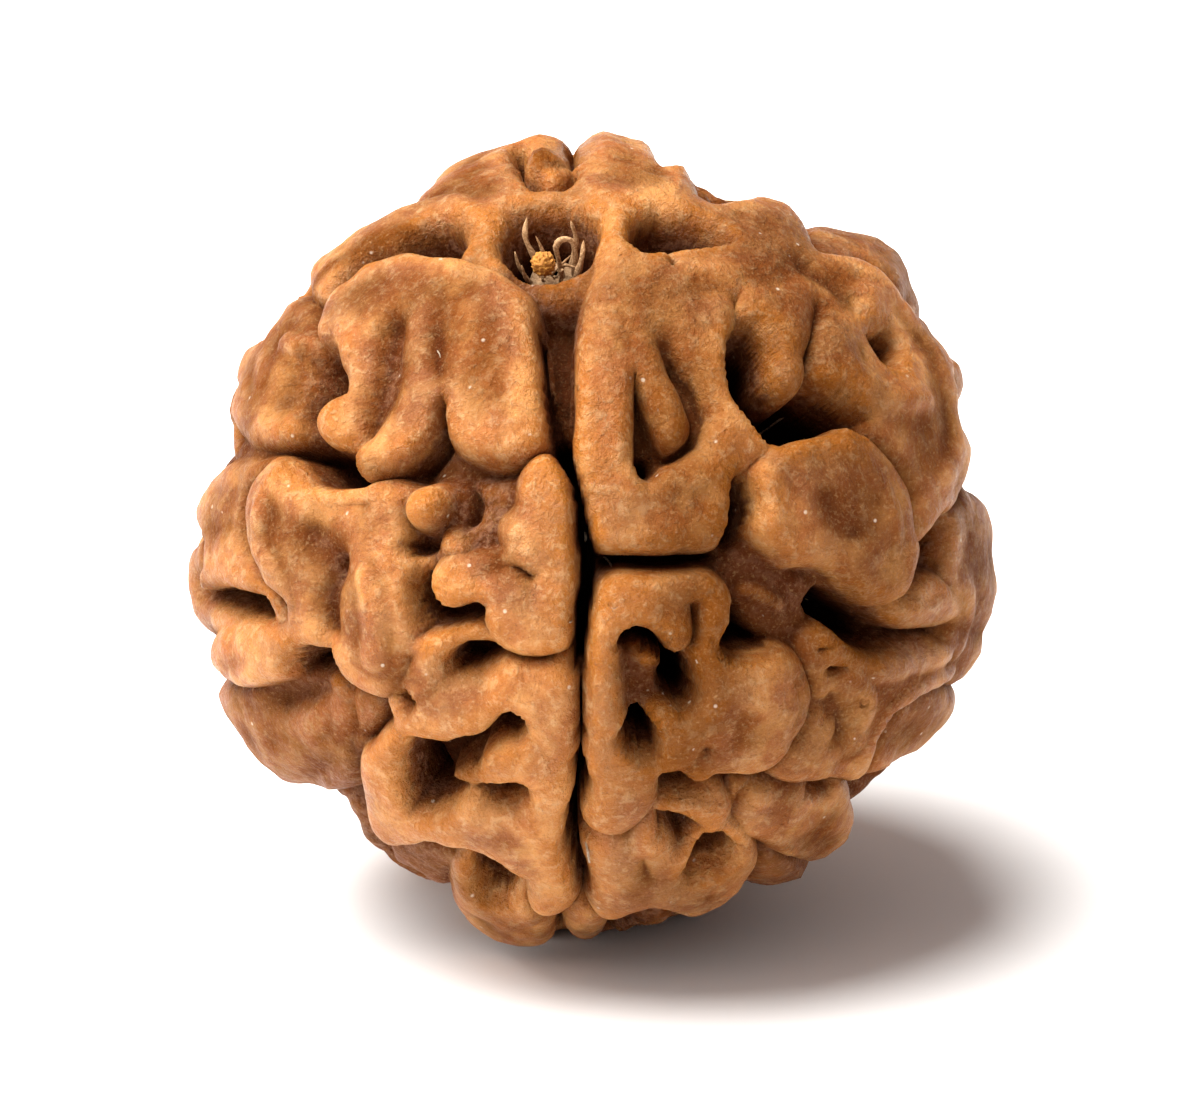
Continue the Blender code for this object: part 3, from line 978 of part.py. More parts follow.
def plug():
    """The pith plug: rings round the hole's axis, narrowing downward, with a ragged outline."""
    sides = 18
    turn = np.arange(sides) * 2 * math.pi / sides
    ragged = 1 - 0.12 * np.abs(np.sin(2.5 * turn + 0.7)) - 0.06 * np.sin(5 * turn)
    rows = []
    for depth, radius in PLUG_RINGS:
        lift = 0.07 * np.sin(3 * turn + depth * 4)
        across = radius * ragged
        rows.append(np.column_stack([across * np.cos(turn), across * np.sin(turn), depth + lift]))
    ends = [[0, 0, PLUG_RINGS[0][0] - 0.05], [0, 0, PLUG_RINGS[-1][0] + 0.05]]
    points = in_hole(np.vstack(rows + [ends]))
    last = len(PLUG_RINGS) * sides
    faces = []
    for row in range(len(PLUG_RINGS) - 1):
        for k in range(sides):
            a, b = row * sides + k, row * sides + (k + 1) % sides
            faces.append((a, b, b + sides, a + sides))
    for k in range(sides):
        faces.append((last, (k + 1) % sides, k))
        faces.append((last + 1, last - sides + k, last - sides + (k + 1) % sides))
    return points, faces


def crumb():
    """The pulp crumb: a small ball with seeded lumps."""
    directions, quads = cube_sphere(7)
    lumps = 1 + 0.16 * waves(directions, 1.5, SEED + 9)
    return in_hole([CRUMB_PLACE]) + directions * (CRUMB_RADIUS * lumps)[:, None], quads


def material(name, colour, roughness):
    """A Principled material with this linear colour."""
    made = bpy.data.materials.new(name)
    made.use_nodes = True
    shader = made.node_tree.nodes["Principled BSDF"]
    shader.inputs["Base Color"].default_value = (*colour, 1.0)
    shader.inputs["Roughness"].default_value = roughness
    shader.inputs["Metallic"].default_value = 0.0
    return made


def clear_scene():
    """Remove the objects that a new scene starts with."""
    for old in list(bpy.data.objects):
        bpy.data.objects.remove(old, do_unlink=True)


def cut_rest_spot(stone):
    """Cut the stone flat where it rests: all of it under the floor is taken off."""
    corners = np.array([[x, y, z] for x in (-15, 15) for y in (-15, 15) for z in (-6, 0)], float)
    sides = ((0, 1, 3, 2), (4, 6, 7, 5), (0, 4, 5, 1), (2, 3, 7, 6), (0, 2, 6, 4), (1, 5, 7, 3))
    cutter = add_mesh("under the floor", corners, sides, stone.data.materials[0])
    cutter.hide_render = True
    cutter.display_type = "WIRE"
    cut = stone.modifiers.new("rest spot", "BOOLEAN")
    cut.operation = "DIFFERENCE"
    cut.solver = "EXACT"
    cut.object = cutter


def build():
    """Make the stone, the pith and the crumb."""
    clear_scene()
    directions, quads = cube_sphere(GRID)
    points = stone_points(directions, quads, heights(directions))
    stone = add_mesh("stone", points, quads, material("waxy tan stone", (0.47, 0.25, 0.105), 0.55))
    thin = stone.modifiers.new("fewer faces", "DECIMATE")
    thin.ratio = STONE_TRIANGLES / (2 * len(quads))
    cut_rest_spot(stone)
    pith = add_mesh("pith", *plug(), material("dry straw pith", (0.40, 0.30, 0.17), 0.85))
    for number, (radius, local) in enumerate(FIBRES):
        fibre = add_mesh(f"fibre shape {number}", *tube(in_hole(local), radius, 6), pith.data.materials[0])
        fibre.hide_render = True
        fibre.display_type = "WIRE"
        join = pith.modifiers.new(f"join fibre {number}", "BOOLEAN")
        join.operation = "UNION"
        join.solver = "EXACT"
        join.object = fibre
    add_mesh("pulp_crumb", *crumb(), material("yellow dried pulp", (0.60, 0.30, 0.05), 0.6))


build()
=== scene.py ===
"""The looks of a rudraksha bead: the waxy lobed stone, the dry pith in its hole, hairs in its pits.

The stone's surface is the same field of heights that its solid is made from, on a finer grid. Its
colours follow those heights: amber on the raised tips, pinkish and powdery on the slopes, and painted
shade that browns the walls and turns the pits near black over their own dark tone. Named places are
darkened where the photograph is browner, partly by staining and partly by painted shade, as along the
whole right flank.
"""

import math

import bpy
import numpy as np
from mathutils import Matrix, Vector


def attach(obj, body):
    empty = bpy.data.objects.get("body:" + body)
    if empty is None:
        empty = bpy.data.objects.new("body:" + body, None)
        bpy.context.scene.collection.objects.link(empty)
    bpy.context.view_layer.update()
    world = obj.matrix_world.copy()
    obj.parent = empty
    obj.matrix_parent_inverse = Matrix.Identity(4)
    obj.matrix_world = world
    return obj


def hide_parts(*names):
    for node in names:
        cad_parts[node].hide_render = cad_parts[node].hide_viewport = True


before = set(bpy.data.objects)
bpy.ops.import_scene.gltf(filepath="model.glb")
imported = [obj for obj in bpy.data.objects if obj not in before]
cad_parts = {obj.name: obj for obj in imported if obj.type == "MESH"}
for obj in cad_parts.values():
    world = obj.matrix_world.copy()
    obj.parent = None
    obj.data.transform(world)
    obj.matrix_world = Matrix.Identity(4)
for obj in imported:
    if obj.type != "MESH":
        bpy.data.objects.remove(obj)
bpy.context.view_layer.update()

# Real sizes, in metres
BEAD_RADIUS = 0.01215
REST_HEIGHT = 0.01205
HOLE_DEPTH = 0.0034
HOLE_RADIUS = 0.00172

# Quads along an edge of the cube that each round surface starts as
FINE_GRID = 128
CRUMB_GRID = 22

# The same sizes in millimetres, the unit of every height below
MM = 0.001
LOBE_RADIUS = BEAD_RADIUS / MM

# The ground between the lobes, in front and on the hidden side, with slow waves as (height, length)
GROUND = -1.6
HIDDEN_GROUND = -1.4
GROUND_WAVES = (0.10, 3.4)

# How far every outline wavers, and over what length
WAVER = (0.08, 2.2)

# The rounded edges of lobes and plates, measured inward, and how far these reach past their outlines
LOBE_EDGE = 1.35
PLATE_EDGE = 0.7
LOBE_LIP = 0.18
PLATE_LIP = 0.38
LOBE_FOOT = -1.9

# How much lobes and plates swell in their middles
LOBE_CROWN = 0.12
PLATE_CROWN = 0.10
PLATE_CROWN_LENGTH = 1.2

# The fillets where raised shapes meet what is under them, and the rounded rims of hollows
CREASE = 0.30
PLATE_CREASE = 0.12
PIT_LIP = 0.30
HOLE_LIP = 0.15

# Hollows: the share by which floors are deepened, the height of their rims, and the walls of basins
PIT_DEPTH = 1.35
PIT_RIM = 0.25
BASIN_RIM = 0.30
BASIN_LIP = 0.12
BASIN_WALL = 1.0
BOWL_MOST = 1.6

# How far a gentle swell or dip is felt, and the spare margin round other shapes
DENT_REACH = 1.6
SPARE = 0.6

# The heights at which the photograph sees low shapes and the rims of hollows
LOWEST_CAST = -0.6
HOLLOW_RIM = 0.2

# How the lobes swell over their pits, from a height upward, and how the whole surface is smoothed
SWELL = 0.20
SWELL_FROM = -2.0
RELAX_ROUNDS = 2

# Small unevenness all over, as (height, length, seed)
UNDULATIONS = ((0.09, 2.2, 6), (0.07, 1.1, 7), (0.035, 0.6, 8))

# The limb: how far round the silhouette is felt, in how many sectors, and the most that shows past it
LIMB_PULL = 0.42
LIMB_STEPS = 120
LIMB_MOST = 0.985
LIMB_SOFT = 0.04

# The photograph: its size in pixels, how many make a millimetre, its middle of the bead, and the eye
PHOTO_SIZE = (1200, 1100)
PHOTO_SCALE = 32.4
PHOTO_CENTRE = (593.0, 539.0)
EYE_DISTANCE = 500.0
EYE_ELEVATION = math.radians(20.0)

SEED = 108

# Plates: broad raised parts, as name, height above the lobe radius in mm, and the outline in pixels
PLATES = (
    ("hole collar", -0.42, ((494, 204), (520, 196), (560, 194), (596, 200), (610, 220), (614, 250),
        (610, 276), (592, 296), (560, 302), (528, 298), (500, 284), (488, 262), (486, 230))),
    ("field below the panel", -0.85, ((728, 545), (756, 534), (790, 548), (806, 560), (826, 576),
        (820, 596), (812, 616), (816, 642), (800, 652), (770, 650), (758, 640), (742, 616), (730, 590),
        (700, 566))),
    ("shelf under the tab", -1.20, ((300, 470), (312, 448), (332, 446), (352, 476), (374, 480), (402, 462),
        (430, 452), (450, 454), (448, 480), (420, 482), (398, 488), (366, 484), (330, 490), (308, 480))),
    ("shelf under the thumb", -1.05, ((440, 452), (470, 454), (500, 458), (524, 462), (526, 486),
        (500, 492), (470, 490), (446, 480))),
    ("lobe d", -0.35, ((214, 664), (240, 680), (262, 682), (284, 678), (300, 676), (332, 676), (347, 686),
        (356, 704), (358, 728), (354, 748), (352, 768), (352, 786), (342, 796), (328, 794), (314, 788),
        (296, 785), (280, 780), (262, 766), (246, 748), (232, 726), (220, 706), (215, 688))),
    ("strip e", -0.30, ((352, 700), (356, 690), (380, 696), (388, 714), (392, 734), (378, 740), (364, 754),
        (354, 764), (352, 745), (358, 725))),
    ("left limb lobe", 0.02, ((302, 288), (286, 306), (275, 322), (264, 336), (246, 348), (238, 366),
        (235, 386), (230, 402), (228, 416), (236, 432), (252, 441), (272, 438), (290, 432), (306, 422),
        (316, 406), (336, 400), (348, 390), (344, 374), (326, 358), (318, 345), (314, 320), (314, 300))),
    ("left foot", -0.40, ((234, 434), (250, 438), (264, 446), (270, 458), (262, 466), (244, 468),
        (231, 460), (230, 446))),
    ("lobe a", 0.02, ((234, 460), (217, 468), (205, 486), (197, 505), (198, 526), (208, 545), (210, 562),
        (206, 578), (222, 588), (240, 596), (257, 604), (265, 614), (269, 628), (282, 630), (290, 616),
        (284, 600), (264, 584), (250, 568), (242, 548), (240, 515), (244, 492), (256, 474), (266, 460),
        (250, 464))),
    ("lobe a outer", -0.02, ((198, 528), (207, 546), (208, 564), (205, 582), (207, 598), (218, 612),
        (236, 620), (260, 620), (268, 632), (250, 640), (226, 641), (212, 632), (198, 620), (189, 604),
        (187, 580), (190, 550))),
    ("lobe c", 0.30, ((208, 652), (212, 641), (224, 633), (246, 631), (268, 630), (284, 638), (293, 652),
        (288, 668), (272, 678), (250, 682), (231, 678), (214, 668))),
    ("shoulder", 0.06, ((408, 206), (428, 187), (441, 171), (460, 160), (480, 152), (500, 146), (520, 139),
        (535, 133), (548, 132), (560, 135), (569, 146), (571, 162), (582, 176), (602, 184), (600, 208),
        (575, 206), (550, 202), (522, 204), (502, 208), (494, 226), (480, 216), (460, 206), (440, 204),
        (420, 206))),
    ("saddle left of hole", -0.05, ((466, 214), (484, 208), (497, 220), (500, 244), (506, 266), (498, 274),
        (474, 264), (456, 258), (450, 244), (456, 228))),
    ("ridge upper left", 0.24, ((306, 282), (309, 268), (322, 254), (340, 243), (360, 227), (380, 216),
        (400, 206), (422, 198), (445, 192), (464, 194), (482, 204), (490, 218), (480, 226), (464, 214),
        (446, 211), (428, 217), (412, 227), (398, 240), (380, 250), (362, 261), (346, 272), (332, 284),
        (320, 294), (308, 291))),
    ("far right top", -0.20, ((806, 236), (812, 226), (822, 222), (836, 230), (860, 232), (880, 238),
        (897, 250), (908, 268), (914, 288), (917, 301), (924, 312), (920, 324), (905, 318), (890, 306),
        (874, 288), (856, 270), (834, 262), (816, 256))),
    ("far right middle", -0.15, ((938, 345), (950, 344), (958, 354), (964, 372), (964, 390), (956, 406),
        (946, 388))),
    ("slope n", -0.02, ((815, 640), (811, 670), (814, 700), (809, 724), (800, 744), (790, 760), (778, 776),
        (800, 787), (832, 780), (866, 778), (878, 745), (890, 716), (905, 701), (926, 690), (946, 684),
        (962, 676), (968, 660), (955, 648), (930, 646), (900, 654), (880, 656), (858, 650), (842, 640),
        (828, 632))),
    ("far lobe o", -0.10, ((880, 750), (886, 728), (902, 704), (922, 692), (945, 688), (957, 694),
        (953, 716), (946, 727), (930, 735), (922, 750), (905, 760), (885, 772), (868, 779))),
    ("far lobe i", 0.02, ((966, 486), (976, 490), (985, 500), (991, 515), (994, 535), (992, 555),
        (996, 575), (999, 590), (997, 606), (990, 622), (982, 634), (982, 655), (976, 668), (964, 675),
        (950, 662), (946, 640), (952, 620), (948, 600), (944, 580), (948, 555), (952, 530), (950, 512))),
    ("hooked arm", 0.10, ((884, 598), (896, 600), (908, 597), (918, 590), (928, 582), (941, 580),
        (953, 592), (960, 606), (956, 618), (942, 624), (922, 624), (904, 618), (892, 608))),
    ("lobe t", -0.02, ((742, 792), (770, 792), (800, 790), (830, 784), (846, 790), (854, 804), (857, 820),
        (851, 838), (836, 850), (822, 858), (800, 858), (780, 850), (760, 842), (746, 836), (740, 815))),
    ("lobe u", -0.40, ((750, 842), (775, 848), (800, 856), (822, 858), (814, 872), (796, 882), (776, 886),
        (754, 884), (750, 864))),
    ("brown lobe", -0.40, ((370, 842), (400, 848), (420, 846), (446, 852), (464, 858), (463, 876),
        (452, 888), (438, 884), (415, 872), (394, 862))),
    ("bottom lobe q", 0.20, ((450, 892), (458, 872), (474, 860), (492, 864), (512, 876), (522, 890),
        (532, 906), (542, 918), (553, 926), (552, 937), (540, 946), (520, 949), (500, 944), (482, 932),
        (466, 923), (455, 908))),
    ("bottom knob", 0.10, ((566, 926), (570, 912), (582, 907), (595, 913), (599, 926), (592, 937),
        (578, 939), (568, 934))),
    ("lobe r", 0.28, ((590, 852), (604, 842), (630, 838), (646, 822), (658, 824), (664, 840), (674, 858),
        (690, 858), (700, 840), (714, 830), (730, 828), (742, 836), (749, 848), (756, 866), (751, 882),
        (739, 895), (721, 908), (700, 916), (682, 917), (668, 910), (652, 906), (632, 911), (618, 918),
        (604, 920), (592, 908), (597, 890), (596, 870))),
    ("small finger", 0.10, ((652, 806), (662, 797), (680, 796), (700, 794), (718, 799), (731, 807),
        (732, 818), (722, 827), (706, 831), (690, 829), (678, 822), (666, 818), (654, 816))),
    ("right plateau", 0.26, ((578, 176), (570, 160), (577, 146), (586, 136), (600, 130), (616, 131),
        (632, 140), (646, 141), (656, 150), (663, 162), (684, 163), (696, 174), (704, 189), (722, 195),
        (745, 196), (760, 193), (775, 198), (789, 202), (798, 212), (808, 224), (814, 240), (822, 252),
        (836, 258), (850, 262), (866, 274), (882, 290), (894, 304), (906, 313), (921, 323), (936, 342),
        (945, 360), (950, 382), (958, 402), (963, 428), (971, 452), (969, 480), (962, 500), (950, 509),
        (944, 520), (932, 532), (922, 538), (914, 524), (915, 504), (908, 480), (900, 464), (888, 446),
        (872, 420), (856, 405), (838, 392), (822, 379), (816, 360), (812, 340), (808, 352), (806, 372),
        (796, 391), (780, 393), (770, 380), (767, 362), (758, 344), (746, 334), (736, 330), (733, 352),
        (736, 386), (742, 402), (756, 420), (772, 438), (782, 450), (764, 456), (748, 462), (738, 474),
        (732, 488), (733, 508), (728, 526), (717, 541), (700, 547), (684, 542), (668, 547), (645, 550),
        (618, 552), (602, 545), (592, 525), (585, 495), (581, 460), (579, 420), (581, 370), (584, 330),
        (586, 304), (594, 286), (603, 270), (602, 244), (594, 214), (588, 196))),
    ("plate upper left", 0.28, ((314, 322), (320, 302), (331, 290), (345, 276), (364, 262), (384, 256),
        (404, 250), (440, 252), (474, 260), (500, 274), (520, 287), (528, 310), (533, 340), (538, 368),
        (540, 395), (542, 420), (537, 441), (521, 452), (500, 455), (478, 452), (462, 446), (450, 432),
        (444, 410), (438, 398), (428, 416), (414, 438), (402, 454), (386, 464), (372, 476), (360, 479),
        (350, 473), (347, 460), (354, 448), (340, 443), (324, 438), (313, 425), (311, 411), (320, 403),
        (335, 400), (345, 390), (344, 378), (334, 366), (322, 354), (316, 342))),
    ("knob side", -0.75, ((438, 480), (462, 480), (480, 498), (478, 526), (460, 540), (438, 534))),
    ("pale field by finger", -0.42, ((474, 484), (500, 484), (524, 480), (526, 504), (518, 522), (504, 532),
        (498, 550), (480, 560), (466, 544), (470, 508))),
    ("pale bump", -0.30, ((428, 548), (438, 535), (452, 532), (465, 540), (474, 552), (466, 564),
        (445, 568), (430, 562))),
    ("plate b and lobe f", 0.24, ((266, 460), (279, 455), (289, 462), (293, 474), (303, 486), (320, 490),
        (345, 486), (366, 483), (388, 485), (402, 492), (398, 520), (400, 546), (420, 556), (418, 580),
        (412, 600), (414, 626), (410, 650), (404, 672), (398, 690), (380, 698), (366, 692), (350, 684),
        (338, 672), (328, 656), (318, 648), (300, 649), (285, 642), (273, 631), (283, 626), (290, 614),
        (286, 602), (275, 590), (262, 580), (250, 566), (242, 548), (240, 520), (243, 494), (254, 476))),
    ("bench, column and ring", 0.30, ((402, 676), (410, 656), (428, 641), (452, 632), (472, 630),
        (486, 642), (500, 656), (525, 662), (558, 660), (571, 672), (573, 710), (574, 750), (571, 790),
        (564, 815), (560, 840), (566, 860), (573, 880), (572, 900), (564, 914), (550, 919), (536, 913),
        (530, 898), (532, 884), (520, 878), (500, 868), (480, 858), (460, 852), (440, 847), (420, 845),
        (405, 850), (388, 850), (372, 842), (362, 824), (358, 800), (356, 775), (362, 756), (376, 742),
        (392, 734), (388, 716), (384, 702))),
    ("finger, arm and round lobe", 0.42, ((523, 492), (526, 472), (536, 460), (548, 458), (558, 466),
        (566, 482), (573, 500), (577, 520), (576, 545), (572, 565), (569, 590), (571, 615), (568, 635),
        (558, 650), (540, 656), (518, 655), (500, 646), (490, 632), (484, 618), (482, 605), (462, 604),
        (446, 610), (434, 606), (428, 595), (428, 580), (436, 568), (450, 562), (466, 562), (480, 560),
        (496, 556), (504, 548), (500, 536), (502, 524), (514, 516), (523, 506))),
    ("frame and lobe m", 0.36, ((600, 602), (607, 590), (622, 582), (645, 579), (668, 576), (692, 576),
        (712, 581), (726, 594), (735, 610), (733, 624), (726, 636), (722, 648), (730, 658), (746, 661),
        (760, 656), (776, 654), (790, 660), (802, 668), (809, 685), (813, 702), (808, 722), (800, 738),
        (790, 752), (780, 766), (768, 773), (752, 779), (738, 777), (720, 778), (708, 786), (696, 788),
        (687, 782), (684, 774), (672, 776), (659, 777), (657, 800), (648, 818), (636, 832), (622, 841),
        (606, 841), (592, 832), (585, 818), (587, 800), (588, 780), (588, 740), (590, 700), (593, 660),
        (597, 625))),
    ("lump g", 0.48, ((784, 446), (800, 440), (820, 438), (835, 430), (848, 424), (862, 426), (875, 436),
        (888, 452), (900, 468), (912, 486), (917, 510), (919, 530), (924, 545), (920, 565), (915, 582),
        (911, 594), (900, 601), (885, 601), (872, 592), (860, 580), (845, 566), (830, 558), (815, 558),
        (800, 560), (788, 550), (774, 540), (763, 525), (759, 505), (757, 485), (762, 468), (772, 456))),
)

# Hollows with an outline: name, height of the floor in mm, and the outline in pixels
BASINS = (
    ("groove mouth floor", -0.55, ((530, 288), (546, 298), (562, 300), (580, 294), (590, 286), (585, 320),
        (581, 360), (579, 400), (578, 440), (574, 470), (562, 466), (549, 444), (543, 410), (539, 370),
        (534, 330))),
    ("under the amber knob", -1.00, ((400, 542), (410, 546), (424, 546), (434, 541), (428, 552), (416, 558),
        (404, 555))),
    ("valley under the upper left ridge", -1.90, ((330, 284), (350, 264), (372, 248), (390, 240),
        (408, 230), (426, 220), (444, 216), (458, 220), (463, 234), (452, 249), (436, 254), (420, 250),
        (404, 247), (384, 253), (362, 264), (342, 282))),
    ("panel hollow left", -0.95, ((635, 374), (643, 386), (651, 403), (659, 424), (667, 444), (671, 458),
        (662, 474), (650, 482), (638, 478), (633, 460), (632, 430), (632, 400))),
    ("side of the amber knob", -0.95, ((458, 482), (470, 488), (478, 502), (474, 520), (464, 530),
        (456, 532), (458, 518), (462, 502))),
    ("slot by lobe a", -2.40, ((204, 592), (222, 589), (240, 597), (257, 604), (264, 614), (264, 623),
        (250, 623), (234, 618), (215, 607))),
    ("pit right of lobe c", -2.50, ((290, 650), (312, 650), (326, 655), (334, 668), (330, 680), (312, 682),
        (296, 680), (284, 676))),
    ("slot over plate b", -2.00, ((264, 450), (276, 442), (300, 438), (322, 444), (344, 448), (350, 462),
        (356, 476), (368, 484), (345, 486), (320, 488), (303, 484), (294, 472), (284, 458), (274, 454))),
    ("right top pit", -2.40, ((628, 240), (630, 224), (640, 212), (656, 208), (678, 212), (700, 218),
        (718, 227), (731, 240), (712, 243), (690, 245), (662, 248), (642, 248))),
    ("deep pit l", -3.20, ((732, 330), (742, 318), (756, 322), (766, 340), (770, 360), (773, 380),
        (782, 396), (795, 395), (806, 385), (814, 378), (824, 384), (838, 394), (856, 405), (872, 420),
        (862, 430), (846, 422), (832, 430), (802, 438), (785, 446), (770, 438), (755, 421), (741, 403),
        (735, 384), (731, 358))),
    ("oval pit", -2.30, ((867, 341), (875, 330), (889, 328), (898, 340), (899, 355), (897, 367), (885, 362),
        (876, 352))),
    ("slit", -2.80, ((737, 478), (746, 470), (753, 482), (758, 500), (757, 520), (752, 536), (740, 546),
        (728, 540), (735, 520), (734, 500))),
    ("far hollow", -2.50, ((950, 512), (950, 532), (940, 548), (934, 566), (930, 578), (916, 582),
        (920, 562), (926, 545), (936, 530))),
    ("pit k", -3.00, ((826, 610), (832, 598), (846, 592), (860, 596), (872, 608), (886, 618), (898, 628),
        (904, 640), (898, 652), (884, 658), (868, 654), (854, 644), (842, 634), (832, 624))),
    ("pit under arm", -3.00, ((417, 572), (425, 585), (428, 600), (440, 611), (452, 611), (466, 605),
        (478, 605), (482, 616), (472, 624), (460, 630), (445, 636), (430, 630), (419, 622), (413, 604))),
    ("bench pit", -2.40, ((446, 663), (449, 652), (462, 647), (480, 647), (495, 651), (496, 661),
        (482, 666), (466, 672), (453, 673))),
    ("ring and arch pit", -2.90, ((402, 752), (410, 742), (430, 744), (447, 748), (462, 741), (482, 740),
        (492, 728), (500, 718), (510, 715), (520, 721), (524, 734), (514, 743), (494, 746), (482, 756),
        (478, 770), (470, 782), (464, 800), (456, 808), (442, 815), (428, 818), (410, 814), (402, 800),
        (399, 775))),
    ("under finger", -1.30, ((478, 786), (498, 785), (520, 786), (528, 792), (530, 803), (515, 810),
        (498, 812), (484, 806), (474, 796))),
    ("bottom pit", -2.70, ((466, 874), (470, 862), (484, 860), (500, 867), (514, 878), (517, 892),
        (506, 902), (488, 901), (474, 892))),
    ("black pit", -2.90, ((723, 648), (728, 636), (735, 622), (736, 606), (745, 606), (752, 622),
        (764, 640), (780, 648), (776, 654), (760, 656), (746, 661), (731, 659))),
    ("crescent pit", -2.60, ((619, 648), (624, 636), (636, 630), (650, 634), (661, 644), (669, 656),
        (672, 664), (662, 660), (648, 650), (636, 646), (628, 650))),
    ("frame hollow", -0.55, ((618, 650), (622, 644), (636, 652), (652, 664), (668, 664), (676, 652),
        (688, 644), (696, 652), (701, 672), (701, 694), (696, 712), (684, 718), (668, 714), (652, 714),
        (640, 718), (626, 722), (618, 710), (616, 690), (615, 665))),
    ("black slot", -3.60, ((673, 664), (683, 660), (694, 665), (698, 680), (699, 698), (692, 710),
        (681, 712), (671, 704), (668, 690))),
    ("curl pit", -2.80, ((622, 737), (629, 723), (642, 719), (653, 730), (657, 745), (654, 758), (642, 758),
        (630, 752))),
    ("pit under small finger", -2.80, ((660, 822), (672, 818), (685, 824), (696, 832), (703, 838),
        (694, 848), (682, 856), (672, 856), (664, 845))),
    ("arch hollow", -2.80, ((698, 850), (708, 838), (722, 836), (735, 840), (740, 852), (732, 862),
        (720, 869), (706, 874), (692, 880), (687, 874))),
    ("under the frame post", -2.20, ((660, 779), (672, 777), (684, 778), (690, 786), (704, 792), (688, 796),
        (670, 796), (660, 796))),
)

# Narrow lobes and ridges: name, height above the lobe radius in mm, then (x, y, half-width) in pixels
LOBES = (
    ("slope n fold", 0.12, ((826, 690, 9), (840, 712, 10), (836, 738, 9))),
    ("slope n second fold", 0.14, ((858, 678, 9), (874, 700, 9), (866, 730, 8))),
    ("lump g shoulder", 0.42, ((772, 474, 12), (769, 502, 12), (778, 526, 11))),
    ("lump g crest", 0.62, ((846, 442, 13), (866, 460, 15), (884, 486, 14), (896, 516, 12),
        (902, 548, 11))),
    ("lobe three crest", 0.36, ((838, 352, 10), (862, 380, 12), (894, 398, 12), (926, 404, 12))),
    ("lobe f", 0.46, ((360, 572, 12), (368, 596, 22), (372, 630, 27), (372, 660, 22))),
    ("plate b rim", 0.40, ((276, 468, 9), (260, 490, 10), (252, 520, 11), (254, 548, 10), (272, 572, 9))),
    ("plate b top", 0.34, ((300, 492, 7), (335, 494, 10), (370, 492, 12), (392, 500, 12))),
    ("left limb bump", 0.22, ((283, 338, 16), (296, 344, 14))),
    ("crescent", 0.22, ((384, 566, 9), (400, 556, 9), (418, 562, 8))),
    ("thin ridge low", 0.08, ((206, 584, 7), (238, 594, 7), (264, 608, 7), (268, 628, 8))),
    ("thin ridge high", 0.34, ((244, 564, 6), (272, 583, 7), (286, 602, 8), (288, 622, 9))),
    ("far right bead", 0.05, ((912, 312, 11),)),
    ("far right dot", 0.05, ((966, 446, 8),)),
    ("hooked arm crest", 0.20, ((908, 606, 7), (930, 612, 8), (948, 602, 8), (942, 588, 7))),
    ("far shelf", 0.02, ((962, 590, 14), (964, 624, 14), (954, 652, 14))),
    ("ridge l", -0.45, ((744, 588, 7), (764, 596, 9), (784, 606, 8))),
    ("lobe m lip", 0.40, ((803, 672, 6), (808, 698, 6), (800, 726, 6), (784, 754, 6))),
    ("slope n upper", 0.08, ((880, 672, 20), (922, 664, 18), (948, 654, 14))),
    ("slope n edge", 0.20, ((956, 674, 8), (922, 690, 8), (896, 712, 8), (880, 744, 8), (866, 768, 8))),
    ("slope n sill", 0.08, ((790, 778, 9), (826, 776, 10), (858, 772, 9))),
    ("lobe t swell", 0.00, ((790, 820, 16),)),
)

